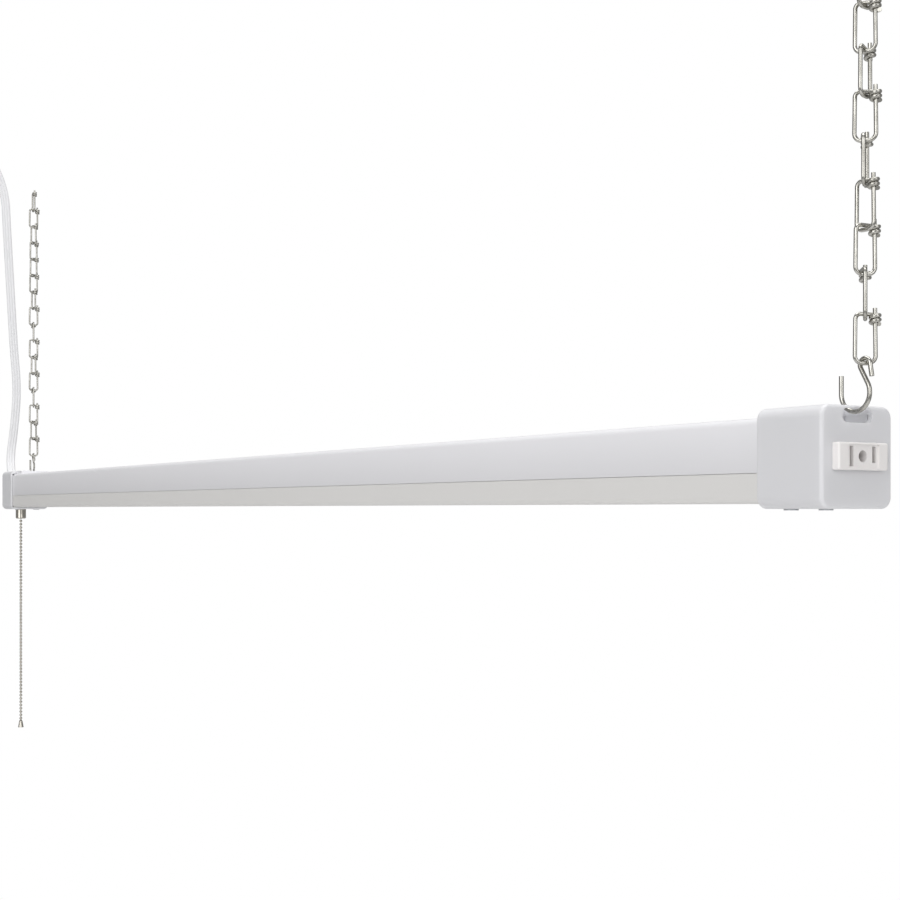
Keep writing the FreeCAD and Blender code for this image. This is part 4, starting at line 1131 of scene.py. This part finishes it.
@dataclass
class HangerPocket:
    """Moulded pocket behind the near cap's hanger slot, open in front and above."""

    name: str = "near_cap_hanger_pocket"
    wall: float = 0.8 * MM
    half_width: float = 9.4 * MM
    front_inset: float = 2.8 * MM  # from the end face to the pocket's open front
    back_inset: float = 15.5 * MM  # from the end face to its back
    floor_drop: float = 7.9 * MM  # from the cap's top to its underside
    rim_drop: float = 2.0 * MM  # from the cap's top to its upper rim
    sides = ((0, 4, 6, 2), (1, 5, 7, 3), (0, 4, 5, 1), (0, 2, 3, 1))  # by the corners' numbers
    rims = ((6, 4, 5, 7), (6, 2, 3, 7))  # round the open front and round the open top

    def build(self, shop: Paintshop) -> None:
        """Make the pocket on the light.

        Args:
            shop: The finishes.
        """
        cap_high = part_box("near_cap")[1]
        back, front = cap_high.x - self.back_inset, cap_high.x - self.front_inset
        low, high = cap_high.z - self.floor_drop, cap_high.z - self.rim_drop
        shape = bmesh.new()
        outer, inner = (
            self._corners(shape, (back + gap, front), self.half_width - gap, (low + gap, high))
            for gap in (0.0, self.wall)
        )
        for box in (outer, inner):
            for side in self.sides:
                shape.faces.new([box[n] for n in side])
        for rim in self.rims:
            shape.faces.new([outer[n] for n in rim] + [inner[n] for n in reversed(rim)])
        bmesh.ops.recalc_face_normals(shape, faces=shape.faces)
        piece = put(self.name, finished_mesh(self.name, shape))
        shop.dress(piece, "white_plastic")
        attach(piece, "light")

    @staticmethod
    def _corners(
        shape: bmesh.types.BMesh, along: tuple[float, float], side: float, up: tuple[float, float]
    ) -> list[bmesh.types.BMVert]:
        """Add a box's eight corners.

        Args:
            shape: The mesh in the making.
            along: X of the back and the front.
            side: Half the width.
            up: Z of the low side and the high side.

        Returns:
            The corners. A corner's number has 4 for the front, 2 for the high side and 1 for +Y.
        """
        return [shape.verts.new((x, y, z)) for x in along for z in up for y in (-side, side)]


# ---------------------------------------------------------------- chains


@dataclass
class WireChain:
    """One chain of knotted wire links with its swing link and its top link."""

    side: str
    turns: tuple[float, ...]  # each link's direction in degrees, lowest first
    wire: float = 1.7 * MM
    pitch: float = 17.5 * MM  # from link to link
    rise: float = 19.5 * MM  # from a link's lower bar to its head
    foot: float = 4.15 * MM  # from its middle to a leg, at the lower bar
    head: float = 3.9 * MM  # from its middle to a leg, at the head
    foot_bend: float = 2.9 * MM
    head_bend: float = 2.2 * MM
    bend_steps: int = 8
    wrap_radius: float = 1.66 * MM
    wrap_turns: float = 2.25
    wrap_pitch: float = 1.72 * MM
    wrap_steps: int = 18  # in each turn
    wrap_drop: float = 0.12  # from the leg's head to the wrap, in wires
    stub: float = 2.2 * MM
    sides: int = 12
    head_stops = (0.25, 0.5)  # shares of the way from the wrap to the head's other corner
    leg_stops = (0.4, 0.7)  # shares of the way up the leg

    def wire_line(self) -> list[Vector]:
        """The wire of one link, from the end wound round the leg to the end that stands up.

        Returns:
            Points about the middle of the link's lower bar, in the XZ plane.
        """
        foot_left, foot_right = Vector((-self.foot, 0, 0)), Vector((self.foot, 0, 0))
        head_left = Vector((-self.head, 0, self.rise))
        head_right = Vector((self.head, 0, self.rise))
        leg = (head_right - foot_right).normalized()
        side = Vector((leg.z, 0, -leg.x))
        out = Vector((0, 1, 0))
        line: list[Vector] = []
        steps = round(self.wrap_turns * self.wrap_steps)
        for n in range(steps + 1):
            angle = math.pi / 2 - 2 * math.pi * self.wrap_turns * (1 - n / steps)
            low = self.wrap_pitch * self.wrap_turns * (1 - n / steps)
            centre = head_right - leg * (low + self.wire * self.wrap_drop)
            away = side * math.cos(angle) + out * math.sin(angle)
            line.append(centre + away * self.wrap_radius)
        start = line[-1]
        line += [start.lerp(head_left, share) for share in self.head_stops]
        line += self._bend(line[-1], head_left, foot_left, self.head_bend)
        line += self._bend(head_left, foot_left, foot_right, self.foot_bend)
        line += self._bend(foot_left, foot_right, head_right, self.foot_bend)
        line += [foot_right.lerp(head_right, share) for share in self.leg_stops]
        line.append(head_right + leg * self.stub)
        return line

    def _bend(self, before: Vector, corner: Vector, after: Vector, radius: float) -> list[Vector]:
        """Points of the arc that rounds a corner.

        Args:
            before: A point on the run into the corner.
            corner: The corner.
            after: A point on the run out of it.
            radius: The arc's radius.

        Returns:
            Points from the arc's start to its end.
        """
        inward, outward = (corner - before).normalized(), (after - corner).normalized()
        half = inward.angle(outward) / 2
        start = corner - inward * radius * math.tan(half)
        middle = start + (outward - inward * inward.dot(outward)).normalized() * radius
        axis = inward.cross(outward).normalized()
        steps = self.bend_steps
        return [
            middle + Quaternion(axis, 2 * half * n / steps) @ (start - middle)
            for n in range(steps + 1)
        ]

    def build(self, shop: Paintshop) -> None:
        """Make the three pieces of the chain in place of their nodes.

        Args:
            shop: The finishes.
        """
        tree = LinkTree().build()
        wire = put("Link wire", new_spline("Link wire", "POLY", self.wire_line()))
        # A top link's flat side points along X, so its box gives the chain's axis.
        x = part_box(f"{self.side}_top_link")[0].x + self.foot + self.wire / 2
        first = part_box(f"{self.side}_chain_links")[0].z + self.wire / 2
        places = [
            (Vector((x, 0, first + n * self.pitch)), turn) for n, turn in enumerate(self.turns)
        ]
        for node, body, part in (
            (f"{self.side}_chain_links", f"{self.side}_chain", places[:-2]),
            (f"{self.side}_swing_link", f"{self.side}_swing", places[-2:-1]),
            (f"{self.side}_top_link", "top_links", places[-1:]),
        ):
            piece = self._strand(f"{node}_wire", part, tree, wire, shop)
            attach(piece, body)
            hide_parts(node)
        bpy.data.objects.remove(wire)

    def _strand(
        self,
        name: str,
        places: list[tuple[Vector, float]],
        tree: bpy.types.NodeTree,
        wire: bpy.types.Object,
        shop: Paintshop,
    ) -> bpy.types.Object:
        """Set a wire link at each place.

        Args:
            name: The piece's name.
            places: Each link's place and its turn in degrees.
            tree: The link tree.
            wire: The wire's curve.
            shop: The finishes.

        Returns:
            The links as one mesh object.
        """
        mesh = bpy.data.meshes.new(name + "_places")
        mesh.from_pydata([tuple(place) for place, _ in places], [], [])
        turn = mesh.attributes.new(LinkTree.turn_name, "FLOAT", "POINT")
        turn.data.foreach_set("value", [math.radians(degrees) for _, degrees in places])
        holder = put(name + "_places", mesh)
        modifier = holder.modifiers.new("Links", "NODES")
        modifier.node_group = tree
        set_input(modifier, "Wire", wire)
        set_input(modifier, "Wire radius", self.wire / 2)
        set_input(modifier, "Sides", self.sides)
        set_input(modifier, "Material", shop.materials["zinc_wire"])
        return baked(name, holder)


class LinkTree:
    """Geometry Nodes tree that bends a wire into a link at each point."""

    name = "Wire links"
    turn_name = "turn"  # the points' attribute for each link's direction
    inputs = (
        ("Geometry", "NodeSocketGeometry"),
        ("Wire", "NodeSocketObject"),
        ("Wire radius", "NodeSocketFloat"),
        ("Sides", "NodeSocketInt"),
        ("Material", "NodeSocketMaterial"),
    )

    def build(self) -> bpy.types.NodeTree:
        """Make the tree, or take the one that is there.

        Returns:
            The tree, with inputs for the wire, its radius, its sides and its material.
        """
        tree = bpy.data.node_groups.get(self.name)
        if tree is not None:
            return tree
        tree = bpy.data.node_groups.new(self.name, "GeometryNodeTree")
        for label, kind in self.inputs:
            tree.interface.new_socket(label, in_out="INPUT", socket_type=kind)
        tree.interface.new_socket("Geometry", in_out="OUTPUT", socket_type="NodeSocketGeometry")
        kit = NodeKit(tree)
        given = kit.add("NodeGroupInput", (-800, 0)).outputs
        made = kit.add("NodeGroupOutput", (800, 0)).inputs
        source = kit.add("GeometryNodeObjectInfo", (-600, 200))
        kit.fill(source, {"Object": given["Wire"]})
        section = kit.add("GeometryNodeCurvePrimitiveCircle", (-600, -100))
        kit.fill(section, {"Resolution": given["Sides"], "Radius": given["Wire radius"]})
        body = kit.add("GeometryNodeCurveToMesh", (-350, 150))
        line, profile = source.outputs["Geometry"], section.outputs["Curve"]
        kit.fill(body, {"Fill Caps": True, "Curve": line, "Profile Curve": profile})
        turn = kit.add("GeometryNodeInputNamedAttribute", (-600, -350), data_type="FLOAT")
        kit.fill(turn, {"Name": self.turn_name})
        facing = kit.add("ShaderNodeCombineXYZ", (-350, -350))
        kit.fill(facing, {"Z": turn.outputs["Attribute"]})
        upright = kit.add("FunctionNodeEulerToRotation", (-150, -350))
        kit.link(facing.outputs[0], upright.inputs[0])
        copies = kit.add("GeometryNodeInstanceOnPoints", (50, 100))
        mesh, rotation = body.outputs["Mesh"], upright.outputs[0]
        kit.fill(copies, {"Points": given["Geometry"], "Instance": mesh, "Rotation": rotation})
        real = kit.add("GeometryNodeRealizeInstances", (300, 100))
        kit.fill(real, {"Geometry": copies.outputs["Instances"]})
        paint = kit.add("GeometryNodeSetMaterial", (550, 100))
        kit.fill(paint, {"Geometry": real.outputs["Geometry"], "Material": given["Material"]})
        kit.link(paint.outputs["Geometry"], made["Geometry"])
        return tree


# ---------------------------------------------------------------- the whole light

NEAR_TURNS = (60, 132, 68, 4, 122, 40, 105, 25, 95, 165, 80, 150, 65, 140, 70, 0)
FAR_TURNS = (62, 125, 60, 165, 80, 15, 85, 165, 75, 10, 100, 35, 110, 20, 85, 0)


def main() -> None:
    """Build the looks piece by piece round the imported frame."""
    logging.basicConfig(level=logging.INFO, format="%(message)s")
    bpy.context.scene.view_settings.view_transform = "Standard"
    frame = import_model()
    packed_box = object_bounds()
    studio = Studio()
    studio.build_camera()
    shop = Paintshop()
    shop.dress_nodes(frame)
    LOG.info("dressed %d nodes", len(frame["nodes"]))
    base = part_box("near_cap")[0].z
    cord = PowerCord(base).build(shop, frame)
    LOG.info("cord: %d faces", len(cord.data.polygons))
    HangerPocket().build(shop)
    for side, turns in (("near", NEAR_TURNS), ("far", FAR_TURNS)):
        WireChain(side, turns).build(shop)
        LOG.info("%s chain: %d links", side, len(turns))
    studio.build_lamps()
    studio.build_floor(packed_box[0].z)


if __name__ == "__main__":
    main()
